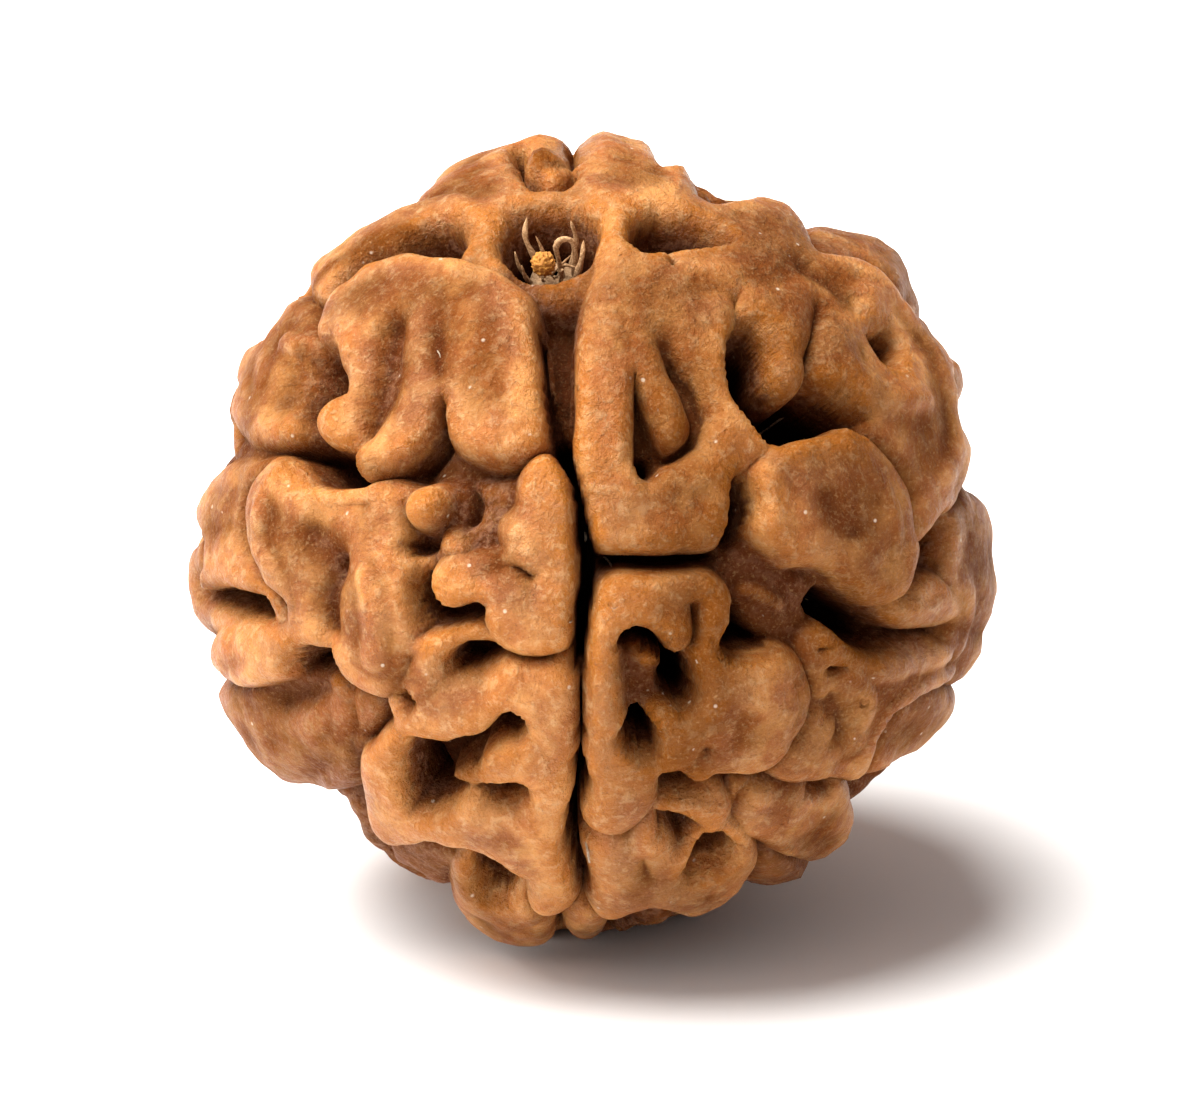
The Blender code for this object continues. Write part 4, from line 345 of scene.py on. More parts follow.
# Gentle swells and dips: name, change of height in mm, then (x, y, half-width) in pixels
DENTS = (
    ("crease of lobe a", -0.40, ((244, 486, 7), (238, 516, 7), (242, 548, 8), (262, 578, 8))),
    ("hollow right of the tongue", -0.90, ((668, 350, 20), (688, 386, 24), (700, 412, 20))),
    ("hollow beside the plate", -1.9, ((320, 356, 20), (316, 380, 26), (302, 402, 20))),
    ("left limb field", -0.45, ((292, 372, 24), (276, 400, 18))),
    ("pinkish dent", -0.80, ((392, 326, 18), (388, 362, 26), (376, 400, 22), (362, 432, 14))),
    ("thumb", 0.16, ((488, 310, 30), (494, 350, 38), (498, 395, 38), (502, 420, 34))),
    ("patch by the thumb", -0.30, ((436, 335, 16), (438, 370, 14))),
    ("plate b field", -0.50, ((312, 530, 26), (330, 556, 26))),
    ("plate b brown dip", -0.25, ((335, 506, 12), (362, 504, 11))),
    ("lobe f swell", 0.10, ((372, 612, 24), (374, 645, 22))),
    ("valley by lobe f", -0.65, ((336, 560, 10), (326, 592, 17), (330, 630, 14))),
    ("lobe d dish", -0.50, ((308, 696, 18), (270, 704, 16))),
    ("recess by strip e", -0.60, ((384, 718, 8), (376, 732, 9), (364, 748, 7))),
    ("bench hollow", -0.65, ((452, 668, 12), (474, 672, 13), (494, 668, 10))),
    ("bench field", -0.25, ((440, 684, 16), (480, 690, 16))),
    ("slope under finger", -0.55, ((488, 808, 10), (516, 812, 10))),
    ("arm neck", -0.25, ((484, 572, 10), (500, 566, 10))),
    ("crease bench to column", -0.70, ((498, 658, 6), (520, 663, 6), (552, 662, 6))),
    ("panel inner slope", -0.25, ((676, 372, 12), (694, 404, 10))),
    ("panel trough", -0.35, ((652, 420, 12), (652, 450, 14))),
    ("panel floor", -0.55, ((676, 458, 17), (700, 448, 14))),
    ("panel side furrow", -0.40, ((736, 300, 8), (740, 318, 10), (744, 334, 10))),
    ("furrow by finger two", -0.40, ((818, 306, 10), (814, 330, 9), (812, 354, 10))),
    ("right top dent", -0.55, ((640, 214, 11), (656, 211, 11))),
    ("right crest", 0.16, ((838, 268, 8), (868, 286, 9), (894, 312, 10), (918, 340, 10), (934, 370, 11),
        (946, 404, 11), (954, 440, 12), (946, 480, 12))),
    ("lobe three", 0.18, ((832, 342, 14), (852, 372, 18), (884, 396, 19), (920, 402, 18))),
    ("grey plateau", -0.28, ((806, 270, 16), (836, 296, 17), (858, 316, 12))),
    ("finger two", 0.14, ((788, 300, 16), (788, 340, 16), (790, 368, 15))),
    ("groove by lobe h", -0.45, ((902, 470, 7), (914, 494, 7), (918, 520, 6))),
    ("lump g left furrow", -0.16, ((786, 470, 10), (790, 505, 11), (794, 530, 10))),
    ("lump g face", -0.18, ((822, 500, 20), (850, 530, 18))),
    ("panel low dent", -0.20, ((700, 500, 14),)),
    ("frame lane", -1.10, ((696, 608, 7), (696, 640, 7))),
    ("frame foot furrow", -0.25, ((704, 744, 6), (698, 764, 6))),
    ("lobe m lip furrow", -0.25, ((795, 680, 5), (799, 708, 5), (786, 742, 5))),
    ("lobe m crown", 0.10, ((752, 684, 20), (762, 704, 20))),
    ("slope n dip", -0.40, ((838, 702, 14), (846, 736, 12))),
    ("bottom lobe dip", -0.20, ((640, 858, 8), (650, 876, 8))),
)

# Pits and slots along a line: name, height of the floor in mm, then (x, y, half-width) in pixels
PITS = (
    ("round the tongue's tip", -0.75, ((655, 464, 9), (678, 454, 10), (698, 438, 11), (706, 412, 12),
        (695, 384, 12), (677, 356, 9))),
    ("finger slot", -0.02, ((513, 563, 3), (522, 569, 4), (531, 577, 4))),
    ("under upper left ridge", -0.90, ((362, 262, 5),)),
    ("hollow right of arm", -1.15, ((440, 404, 5), (434, 428, 9), (424, 448, 11), (408, 466, 9))),
    ("side of amber knob", -0.80, ((466, 502, 7), (466, 522, 8))),
    ("under amber knob", -0.70, ((404, 546, 5), (432, 536, 5))),
    ("small pit by bench", -1.20, ((405, 700, 6), (410, 707, 5))),
    ("between thin ridges", -0.55, ((254, 580, 7), (270, 596, 8), (278, 610, 6))),
    ("ring pit core", -3.20, ((446, 802, 11), (434, 798, 10))),
    ("bottom notch", -1.60, ((558, 926, 4), (559, 945, 5))),
    ("groove mouth", -0.80, ((562, 372, 9), (564, 400, 11), (564, 430, 12))),
    ("groove mouth left", -1.50, ((536, 320, 4), (540, 355, 5), (547, 400, 8), (556, 436, 13))),
    ("groove mouth crease", -1.10, ((575, 340, 3), (574, 380, 4), (570, 430, 8))),
    ("groove", -2.60, ((560, 440, 15), (574, 475, 7), (580, 515, 8), (586, 558, 13), (584, 600, 12),
        (580, 640, 10), (578, 672, 7))),
    ("groove middle", -0.62, ((578, 672, 5), (580, 705, 5), (581, 752, 5))),
    ("groove pit", -2.00, ((581, 736, 6),)),
    ("groove low", -2.50, ((580, 764, 7), (580, 792, 9), (570, 820, 9), (568, 846, 8), (577, 872, 9),
        (581, 896, 9))),
    ("cup under top knob", -1.50, ((518, 150, 6), (524, 168, 8), (540, 182, 8), (560, 182, 7),
        (572, 170, 5))),
    ("top notch", -1.40, ((572, 142, 4), (572, 162, 5))),
    ("plateau pore", -1.00, ((674, 262, 4),)),
    ("panel inner pit", -2.20, ((645, 460, 12), (650, 464, 10))),
    ("gap", -1.7, ((604, 562, 10), (650, 564, 10), (696, 562, 10), (722, 558, 8))),
    ("hollow under lump g", -0.60, ((806, 570, 6), (824, 573, 8), (842, 580, 6))),
    ("slope pore", -0.70, ((830, 654, 4),)),
    ("slope pore two", -0.60, ((838, 672, 5), (850, 670, 4))),
    ("pore under lobe m", -0.50, ((709, 750, 3),)),
    ("hollow over lobe t", -1.20, ((820, 796, 8), (838, 796, 8))),
    ("hollow over the side finger", -1.00, ((736, 792, 10),)),
)

# Lobes that reach over a pit, raised after the pits are cut
OVER_LOBES = (
    ("pale bump crown", 0.02, ((450, 547, 17), (458, 551, 14))),
    ("amber knob crown", 0.46, ((416, 506, 26), (424, 500, 20))),
    ("tab", 0.30, ((346, 398, 8), (334, 404, 12), (326, 414, 13), (334, 428, 11))),
    ("tooth", 0.28, ((500, 766, 8), (512, 760, 11), (530, 766, 15))),
    ("bench rim over the pit", 0.22, ((408, 650, 10), (436, 640, 7), (466, 632, 6), (488, 640, 6))),
    ("rim of lobe r", 0.22, ((662, 842, 6), (674, 858, 7), (688, 858, 7), (700, 844, 6), (714, 832, 7),
        (732, 834, 8), (746, 848, 7))),
    ("side finger", 0.20, ((672, 806, 9), (700, 806, 11), (722, 816, 10))),
    ("top knob", 0.42, ((545, 155, 25),)),
    ("point into the ring", -0.22, ((498, 778, 20), (478, 778, 15), (460, 782, 9), (452, 784, 6))),
    ("panel tongue", 0.28, ((640, 336, 16), (654, 366, 18), (668, 394, 18), (678, 418, 16))),
    ("drip", 0.20, ((748, 783, 5),)),
)

# The bead's silhouette in the photograph
SILHOUETTE = (
    (548, 132), (562, 137), (570, 149), (577, 146), (585, 136), (600, 130), (616, 131), (632, 140),
    (646, 141), (656, 150), (663, 162), (684, 163), (696, 174), (704, 189), (722, 195), (745, 196),
    (760, 193), (775, 198), (789, 202), (798, 212), (808, 224), (822, 222), (836, 230), (860, 232),
    (880, 238), (897, 250), (908, 268), (914, 288), (917, 300), (924, 312), (922, 322), (938, 340),
    (955, 352), (964, 372), (964, 392), (959, 405), (964, 428), (974, 440), (974, 455), (971, 470),
    (970, 486), (984, 500), (991, 515), (994, 535), (992, 555), (996, 575), (999, 590), (997, 606),
    (990, 622), (982, 634), (982, 655), (976, 668), (964, 676), (957, 694), (953, 716), (946, 727),
    (930, 735), (922, 750), (905, 760), (885, 773), (866, 781), (858, 800), (857, 820), (851, 838),
    (836, 850), (822, 859), (812, 872), (796, 882), (776, 886), (754, 886), (738, 898), (721, 909),
    (700, 917), (682, 920), (640, 928), (600, 938), (580, 939), (566, 934), (553, 937), (540, 946),
    (520, 949), (500, 944), (482, 932), (466, 923), (455, 908), (448, 890), (438, 886), (415, 874),
    (392, 862), (372, 846), (362, 832), (358, 815), (348, 797), (328, 794), (314, 788), (296, 785),
    (280, 780), (262, 766), (246, 748), (232, 726), (220, 706), (215, 688), (213, 668), (209, 652),
    (211, 638), (198, 621), (189, 604), (187, 580), (190, 550), (197, 530), (196, 508), (204, 486),
    (216, 468), (231, 459), (230, 446), (234, 433), (228, 416), (230, 402), (235, 386), (238, 366),
    (246, 348), (264, 336), (275, 322), (286, 306), (302, 289), (307, 279), (310, 268), (322, 254),
    (340, 243), (360, 227), (380, 216), (400, 206), (420, 198), (428, 187), (441, 171), (460, 160),
    (480, 152), (500, 146), (520, 139), (535, 133),
)

# The bead's own axis runs through the hole, and its one clean groove through the second pixel
HOLE_PIXEL = (549.0, 240.0)
HOLE_RIM = -0.25
FRONT_PIXEL = (580.0, 640.0)

# The hidden side, in degrees round the bead's axis: strokes of the front that lie between two angles
# are turned by a third, after a hand of -1 mirrors them
TURNED_COPIES = ((12, 66, 92, 1), (-66, -12, -92, 1), (-60, -14, 144, -1))
HIDDEN_FROM = 0.4

# Seeded lobes where nothing else is, past this cosine to the eye: spots tried, least room, half-width,
# length, bend, gap and top in mm, and how much lower they are just past the limb
FILLER_FROM = 0.42
FILLER_SPOTS = 1500
FILLER_LEAST = 0.42
FILLER_WIDTH = (0.7, 1.25)
FILLER_LENGTH = (1.0, 2.6)
FILLER_BEND = 0.5
FILLER_GAP = 0.12
FILLER_TOP = (-0.05, 0.42)
FILLER_LOW_PAST = -0.32
FILLER_DROP = 0.75

# Seeded pits on the hidden side: spots tried, share kept, floor, half-width, length, and where they stop
HIDDEN_SPOTS = 150
HIDDEN_PIT_SHARE = 0.5
HIDDEN_PIT_FLOOR = (-2.4, -1.3)
HIDDEN_PIT_WIDTH = (0.3, 0.6)
HIDDEN_PIT_LENGTH = 0.10
HIDDEN_PITS_FROM = -0.05
HIDDEN_PITS_ABOVE = -0.86

# The one groove goes on under the bead to its foot pole, between two angles from the top pole
GROOVE_END = (2.84, 3.06)
GROOVE_WIDTH = 0.30
GROOVE_FLOOR = -1.3

# The worn spot that the bead rests on, and the small dimple at its foot pole
REST_LINE = ((-0.04, 0.02, -1.0), (0.06, -0.03, -1.0))
REST_LOBE_WIDTH = 3.9
REST_LOBE_TOP = 0.37
FOOT_DEPTH = 1.8
FOOT_WIDTH = 1.15

# How steep the walls of the hole and of that dimple are: the power of the distance ratio
HOLE_WALL = 8
FOOT_WALL = 5

# The pith's fibres in the hole, in mm, as half-width and points (right, forward, depth below the rim)
FIBRES = (
    (0.14, ((-0.62, -0.70, -0.40), (-0.74, -0.45, 0.20), (-0.52, -0.25, 0.90), (-0.35, 0.0, 1.9))),
    (0.13, ((0.19, 0.10, 1.8), (0.22, 0.10, 0.9), (0.19, 0.10, 0.2), (0.43, 0.10, -0.05),
            (0.72, 0.10, 0.12), (0.70, 0.10, 1.0), (0.56, 0.10, 1.8))),
    (0.12, ((0.71, -0.45, -0.30), (0.78, -0.45, 0.50), (0.60, -0.40, 1.2), (0.45, -0.30, 1.9))),
    (0.13, ((1.05, 0.12, 0.05), (0.95, 0.36, 0.50), (0.70, 0.42, 1.2), (0.40, 0.36, 1.9))),
    (0.10, ((-1.08, 0.02, 0.30), (-1.02, 0.10, 0.80), (-0.78, 0.12, 1.4), (-0.50, 0.10, 2.0))),
    (0.10, ((-0.90, 0.46, 0.50), (-0.84, 0.46, 1.0), (-0.62, 0.40, 1.5), (-0.40, 0.30, 2.0))),
    (0.09, ((-0.40, -0.20, -0.05), (-0.25, -0.12, 0.50), (-0.12, -0.02, 1.2), (-0.10, 0.0, 2.0))),
)

# The crumb of pulp among them
CRUMB_PLACE = (-0.24, 0.58, 0.42)
CRUMB_RADIUS = 0.36

# The centre of the bead over the floor, and the photograph's line of sight and its up, as unit vectors
CENTRE = np.array([0.0, 0.0, REST_HEIGHT / MM])
TO_EYE = np.array([0.0, -math.cos(EYE_ELEVATION), math.sin(EYE_ELEVATION)])
VIEW_UP = np.array([0.0, math.sin(EYE_ELEVATION), math.cos(EYE_ELEVATION)])


def photo_ray(pixels):
    """The eye point and the unit directions from it through these pixels of the photograph."""
    right = np.array([1.0, 0.0, 0.0])
    across = (pixels[:, 0] - PHOTO_CENTRE[0]) / PHOTO_SCALE
    rise = (PHOTO_CENTRE[1] - pixels[:, 1]) / PHOTO_SCALE
    eye = TO_EYE * EYE_DISTANCE
    aim = across[:, None] * right + rise[:, None] * VIEW_UP - eye
    return eye, aim / np.linalg.norm(aim, axis=1, keepdims=True)


def onto_sphere(pixels, lift=0.0):
    """The unit directions from the centre to where these pixels see a sphere this far over the lobes.

    With eye e and ray a, the near root of |e + t a| = R. A ray that misses takes its closest point.
    """
    eye, aim = photo_ray(np.asarray(pixels, float))
    along = -(aim @ eye)
    reach = (LOBE_RADIUS + lift) ** 2 - (eye @ eye - along**2)
    point = eye + (along - np.sqrt(np.maximum(reach, 0.0)))[:, None] * aim
    return point / np.linalg.norm(point, axis=1, keepdims=True)


def smooth_path(points, step=1.0):
    """A Catmull-Rom curve through rows of numbers, with about one row for each step of length."""
    points = np.asarray(points, float)
    if len(points) < 3:
        return points
    ends = np.vstack([2 * points[0] - points[1], points, 2 * points[-1] - points[-2]])
    rows = []
    for i in range(1, len(ends) - 2):
        a, b, c, d = ends[i - 1 : i + 3]
        count = max(1, int(round(np.linalg.norm((c - b)[:3]) / step)))
        t = (np.arange(count) / count)[:, None]
        square, cube = 2 * a - 5 * b + 4 * c - d, 3 * b - 3 * c + d - a
        rows.append(b + ((c - a) * t + square * t**2 + cube * t**3) / 2)
    return np.vstack(rows + [ends[-2:-1]])


def photo_stroke(points, level):
    """A stroke of the photograph as rows (x, y, z, half-width) in mm on the lobe sphere."""
    points = np.asarray(points, float)
    place = onto_sphere(points[:, :2], max(level, LOWEST_CAST)) * LOBE_RADIUS
    return smooth_path(np.column_stack([place, points[:, 2] / PHOTO_SCALE]))


def reach_of(places, path):
    """For each place: distance to the path over its half-width there, and the edge distance in mm.

    Over each segment a-b with half-widths ra, rb: t = clamp((p - a).(b - a) / |b - a|^2),
    d = |p - a - t(b - a)| and r = ra + t (rb - ra). The segment with the least d - r counts.
    """
    ratio = np.full(len(places), 9.0)
    edge = np.full(len(places), -9.0)
    if len(path) == 1:
        path = np.vstack([path, path + np.array([1e-4, 0, 0, 0])])
    for a, b in zip(path[:-1], path[1:]):
        side = b[:3] - a[:3]
        t = np.clip((places - a[:3]) @ side / max(side @ side, 1e-12), 0, 1)
        away = np.linalg.norm(places - a[:3] - t[:, None] * side, axis=1)
        width = a[3] + t * (b[3] - a[3])
        nearer = width - away > edge
        edge = np.where(nearer, width - away, edge)
        ratio = np.where(nearer, away / width, ratio)
    return ratio, edge


def near(places, path, margin):
    """Which places lie within the margin of the path's bounding ball."""
    middle = path[:, :3].mean(axis=0)
    radius = np.linalg.norm(path[:, :3] - middle, axis=1).max() + path[:, 3].max() + margin
    return np.flatnonzero(np.linalg.norm(places - middle, axis=1) < radius)


def smooth_max(a, b, k):
    """max(a, b) with its corner rounded over k."""
    h = np.maximum(k - np.abs(a - b), 0.0) / k
    return np.maximum(a, b) + h * h * k / 4


def raise_lobe(height, places, path, top):
    """height = smooth max of itself and a lobe: a quarter-round edge up to a faintly crowned top."""
    index = near(places, path, SPARE)
    ratio, edge = reach_of(places[index], path)
    edge = edge + LOBE_LIP * np.clip(2 - ratio, 0, 1)
    span = np.minimum(LOBE_EDGE, np.maximum(edge / np.maximum(1 - ratio, 1e-6), 1e-3))
    s = np.clip(edge / span, 0, 1)
    crown = LOBE_CROWN * (1 - np.minimum(ratio, 1) ** 2)
    lobe = LOBE_FOOT + (top - LOBE_FOOT) * np.sqrt(s * (2 - s)) + crown
    height[index] = smooth_max(height[index], lobe, CREASE)


def change_height(height, places, path, change):
    """height = itself + change exp(-ratio^2), with the ratio of distance to half-width."""
    index = near(places, path, DENT_REACH)
    ratio, _ = reach_of(places[index], path)
    height[index] += change * np.exp(-(ratio**2))


def cut_pit(height, places, path, floor):
    """height = smooth min of itself and a bowl that climbs as the fifth power of the distance ratio."""
    index = near(places, path, SPARE)
    ratio, _ = reach_of(places[index], path)
    floor = floor * PIT_DEPTH
    bowl = floor + (PIT_RIM - floor) * np.minimum(ratio, BOWL_MOST) ** 5
    height[index] = -smooth_max(-height[index], -bowl, PIT_LIP)


def photo_outline(pixels, level):
    """A closed outline of the photograph as rows (x, y, z) in mm on the lobe sphere."""
    pixels = np.asarray(pixels, float)
    place = onto_sphere(pixels, max(level, LOWEST_CAST)) * LOBE_RADIUS
    around = np.vstack([place[-1:], place, place[:2]])
    return smooth_path(around, 0.6)[:-1]


def flat_map(places, middle):
    """Places on the sphere as flat mm round a middle: the part across it times R a / sin a, angle a."""
    across = np.cross(middle, [0.36, 0.48, 0.80])
    across /= np.linalg.norm(across)
    up = np.cross(across, middle)
    unit = places / np.linalg.norm(places, axis=1, keepdims=True)
    angle = np.arccos(np.clip(unit @ middle, -1, 1))
    reach = LOBE_RADIUS * angle / np.maximum(np.sin(angle), 1e-6)
    return np.column_stack([unit @ across, unit @ up]) * reach[:, None]


def inside_of(places, outline, margin):
    """The places near an outline, and how far inside it each lies in mm, less than 0 outside.

    The distance is the least over the outline's segments, and a place is inside where a level line
    from it crosses them an odd number of times.
    """
    middle = outline.mean(axis=0)
    middle /= np.linalg.norm(middle)
    edge = flat_map(outline, middle)
    reach = np.linalg.norm(outline - middle * LOBE_RADIUS, axis=1).max() + margin
    index = np.flatnonzero(np.linalg.norm(places - middle * LOBE_RADIUS, axis=1) < reach)
    spot = flat_map(places[index], middle)
    least = np.full(len(index), 99.0)
    odd = np.zeros(len(index), bool)
    for a, b in zip(edge, np.roll(edge, -1, axis=0)):
        side = b - a
        off = spot - a
        t = np.clip(off @ side / max(side @ side, 1e-12), 0, 1)
        least = np.minimum(least, np.hypot(off[:, 0] - t * side[0], off[:, 1] - t * side[1]))
        rise = side[1] if abs(side[1]) > 1e-12 else 1e-12
        crossed = (a[1] > spot[:, 1]) != (b[1] > spot[:, 1])
        odd ^= crossed & (off[:, 0] < off[:, 1] / rise * side[0])
    return index, np.where(odd, least, -least)


def raise_plate(height, places, outline, top):
    """height = smooth max of itself and a plate: a quarter-round edge up to a top that swells inward."""
    index, inside = inside_of(places, outline, SPARE)
    s = np.clip((inside + PLATE_LIP) / PLATE_EDGE, 0, 1)
    crown = PLATE_CROWN * (1 - np.exp(-np.maximum(inside, 0) / PLATE_CROWN_LENGTH))
    plate = LOBE_FOOT + (top - LOBE_FOOT) * np.sqrt(s * (2 - s)) + crown
    height[index] = smooth_max(height[index], plate, PLATE_CREASE)


def cut_basin(height, places, outline, floor):
    """height = smooth min of itself and a basin: walls fall as a fourth power down to a flat floor."""
    index, inside = inside_of(places, outline, SPARE)
    inside = inside + BASIN_LIP
    wall = min(BASIN_WALL, max(float(inside.max(initial=0.2)), 0.2))
    floor = floor * PIT_DEPTH
    ratio = np.clip(1 - inside / wall, 0, BOWL_MOST)
    bowl = floor + (BASIN_RIM - floor) * ratio**4
    height[index] = -smooth_max(-height[index], -bowl, PIT_LIP)


def waves(places, length, seed):
    """Smooth seeded noise near +-1: the mean of 20 plane waves of this length in mm, times 2."""
    rng = np.random.default_rng(seed)
    aims = rng.normal(size=(20, 3))
    aims /= np.linalg.norm(aims, axis=1, keepdims=True)
    turns = 2 * math.pi / (length * rng.uniform(0.75, 1.35, 20))
    phases = rng.uniform(0, 2 * math.pi, 20)
    return np.sin(places @ (aims * turns[:, None]).T + phases).mean(axis=1) * 2.0


def bead_frame():
    """Unit vectors of the bead's own axis, of its front groove and of its right-hand side."""
    pole, front = onto_sphere(np.array([HOLE_PIXEL, FRONT_PIXEL]), HOLE_RIM)
    front -= (front @ pole) * pole
    front /= np.linalg.norm(front)
    return pole, front, np.cross(pole, front)


def turned(path, axes, turn, hand):
    """A path turned about the bead's axis, and with hand -1 mirrored across the front groove first."""
    pole, front, side = axes
    a, b, c = path[:, :3] @ front, path[:, :3] @ side * hand, path[:, :3] @ pole
    cos, sin = math.cos(turn), math.sin(turn)
    place = np.outer(a * cos - b * sin, front) + np.outer(a * sin + b * cos, side) + np.outer(c, pole)
    return np.column_stack([place, path[:, 3:]])


def hidden(path):
    """Whether the whole path lies past the limb, as the photograph's eye sees it."""
    return toward_eye(path[:, :3]).max() < HIDDEN_FROM


def hidden_copies(paths, axes):
    """The (height, rows) beside the front groove, turned round to the hidden side."""
    _, front, side = axes
    copies = []
    for level, path in paths:
        middle = path[:, :3].mean(axis=0)
        around = math.degrees(math.atan2(middle @ side, middle @ front))
        for start, end, turn, hand in TURNED_COPIES:
            copy = turned(path, axes, math.radians(turn), hand)
            if start < around < end and hidden(copy):
                copies.append((level, copy))
    return copies


def with_copies(strokes, reader, axes, rim=None):
    """The (height, rows) of named strokes or outlines, with those turned to the hidden side.

    They are seen at their own height, or those of hollows at the height of their rim.
    """
    paths = [(level, reader(points, level if rim is None else rim)) for _, level, points in strokes]
    return paths + hidden_copies(paths, axes)


def groove_end(axes):
    """The groove's last stretch, on the meridian of the front groove, as rows (x, y, z, half-width)."""
    pole, front, _ = axes
    angle = np.linspace(*GROOVE_END, 4)
    place = LOBE_RADIUS * (np.cos(angle)[:, None] * pole + np.sin(angle)[:, None] * front)
    return np.column_stack([place, np.full(4, GROOVE_WIDTH)])


def spiral_spots(count):
    """Even unit directions: the k-th has cos(polar) = 1 - (2k + 1) / count, a golden angle further on."""
    rank = np.arange(count) + 0.5
    polar = np.arccos(1 - 2 * rank / count)
    around = math.pi * (1 + math.sqrt(5)) * rank
    level = np.sin(polar)
    return np.column_stack([level * np.cos(around), level * np.sin(around), np.cos(polar)])


def toward_eye(directions):
    """The cosine between each direction and the photograph's line of sight."""
    return directions @ TO_EYE


def filler_lobes(paths, outlines):
    """Seeded bent lobes for the ground near and past the limb that no stroke or outline covers."""
    rng = np.random.default_rng(SEED)
    spots = spiral_spots(FILLER_SPOTS)
    facing = toward_eye(spots)
    spots = spots * LOBE_RADIUS
    room = np.full(len(spots), 9.0)
    for path in paths:
        room = np.minimum(room, -reach_of(spots, path)[1])
    for outline in outlines:
        index, inside = inside_of(spots, outline, 1.5)
        room[index] = np.minimum(room[index], -inside)
    made = []
    for i in rng.permutation(len(spots)):
        if room[i] < FILLER_LEAST or facing[i] > FILLER_FROM:
            continue
        width = min(room[i], rng.uniform(*FILLER_WIDTH))
        drift = np.cross(spots[i], rng.normal(size=3))
        drift *= rng.uniform(*FILLER_LENGTH) / np.linalg.norm(drift)
        bend = np.cross(spots[i], drift) * rng.uniform(-FILLER_BEND, FILLER_BEND) / LOBE_RADIUS
        line = np.vstack([spots[i] - drift + bend, spots[i], spots[i] + drift + bend])
        line *= LOBE_RADIUS / np.linalg.norm(line, axis=1, keepdims=True)
        there = [int(np.argmin(np.linalg.norm(spots - point, axis=1))) for point in line]
        widths = [float(np.clip(room[k] + 0.1, 0.3, width)) for k in there]
        path = smooth_path(np.column_stack([line, widths]))
        room = np.minimum(room, -reach_of(spots, path)[1] - FILLER_GAP)
        drop = FILLER_DROP if facing[i] > FILLER_LOW_PAST else 0.0
        made.append((rng.uniform(*FILLER_TOP) - drop, path))
    return made


def filler_pits():
    """Seeded pits on the hidden side."""
    rng = np.random.default_rng(SEED + 1)
    spots = spiral_spots(HIDDEN_SPOTS)
    spots = spots[(toward_eye(spots) < HIDDEN_PITS_FROM) & (spots[:, 2] > HIDDEN_PITS_ABOVE)]
    made = []
    for spot in spots:
        if rng.uniform() > HIDDEN_PIT_SHARE:
            continue
        drift = np.cross(spot, rng.normal(size=3)) * HIDDEN_PIT_LENGTH / 2
        ends = np.vstack([spot - drift, spot + drift])
        ends *= LOBE_RADIUS / np.linalg.norm(ends, axis=1, keepdims=True)
        widths = rng.uniform(*HIDDEN_PIT_WIDTH, 2)
        made.append((rng.uniform(*HIDDEN_PIT_FLOOR), np.column_stack([ends, widths])))
    return made


def heights(directions):
    """The height in mm over the lobe radius in each direction."""
    axes = bead_frame()
    pole = axes[0]
    places = directions * LOBE_RADIUS
    waver, length = WAVER
    places = places + waver * np.column_stack([waves(places, length, SEED + k) for k in range(3)])
    plates = with_copies(PLATES, photo_outline, axes)
    basins = with_copies(BASINS, photo_outline, axes, HOLLOW_RIM)
    lobes = with_copies(LOBES, photo_stroke, axes)
    dents = with_copies(DENTS, photo_stroke, axes, HOLLOW_RIM)
    pits = with_copies(PITS, photo_stroke, axes, HOLLOW_RIM) + [(GROOVE_FLOOR, groove_end(axes))]
    over = with_copies(OVER_LOBES, photo_stroke, axes)
    rest = np.column_stack([REST_LINE, [REST_LOBE_WIDTH] * 2])
    rest[:, :3] *= LOBE_RADIUS / np.linalg.norm(rest[:, :3], axis=1, keepdims=True)
    strokes = [path for _, path in lobes + pits] + [rest]
    lobes += filler_lobes(strokes, [outline for _, outline in plates + basins])
    pits += filler_pits()
    behind = np.clip((FILLER_FROM - toward_eye(directions)) / FILLER_FROM, 0, 1)
    swing, length = GROUND_WAVES
    height = GROUND + (HIDDEN_GROUND - GROUND) * behind + swing * waves(places, length, SEED + 5)
    for top, outline in plates:
        raise_plate(height, places, outline, top)
    for top, path in lobes:
        raise_lobe(height, places, path, top)
    for change, path in dents:
        change_height(height, places, path, change)
    for floor, path in pits:
        cut_pit(height, places, path, floor)
    for floor, outline in basins:
        cut_basin(height, places, outline, floor)
    for top, path in over:
        raise_lobe(height, places, path, top)
    raise_lobe(height, places, rest, REST_LOBE_TOP)
    for end, depth, width, power in (
        (pole, HOLE_DEPTH / MM, HOLE_RADIUS / MM, HOLE_WALL),
        (-pole, FOOT_DEPTH, FOOT_WIDTH, FOOT_WALL),
    ):
        ratio = np.linalg.norm(places - end * LOBE_RADIUS, axis=1) / width
        bowl = (PIT_RIM + depth) * np.minimum(ratio, BOWL_MOST) ** power - depth
        height = -smooth_max(-height, -bowl, HOLE_LIP)
    for size, length, seed in UNDULATIONS:
        height += size * waves(places, length, SEED + seed)
    return height


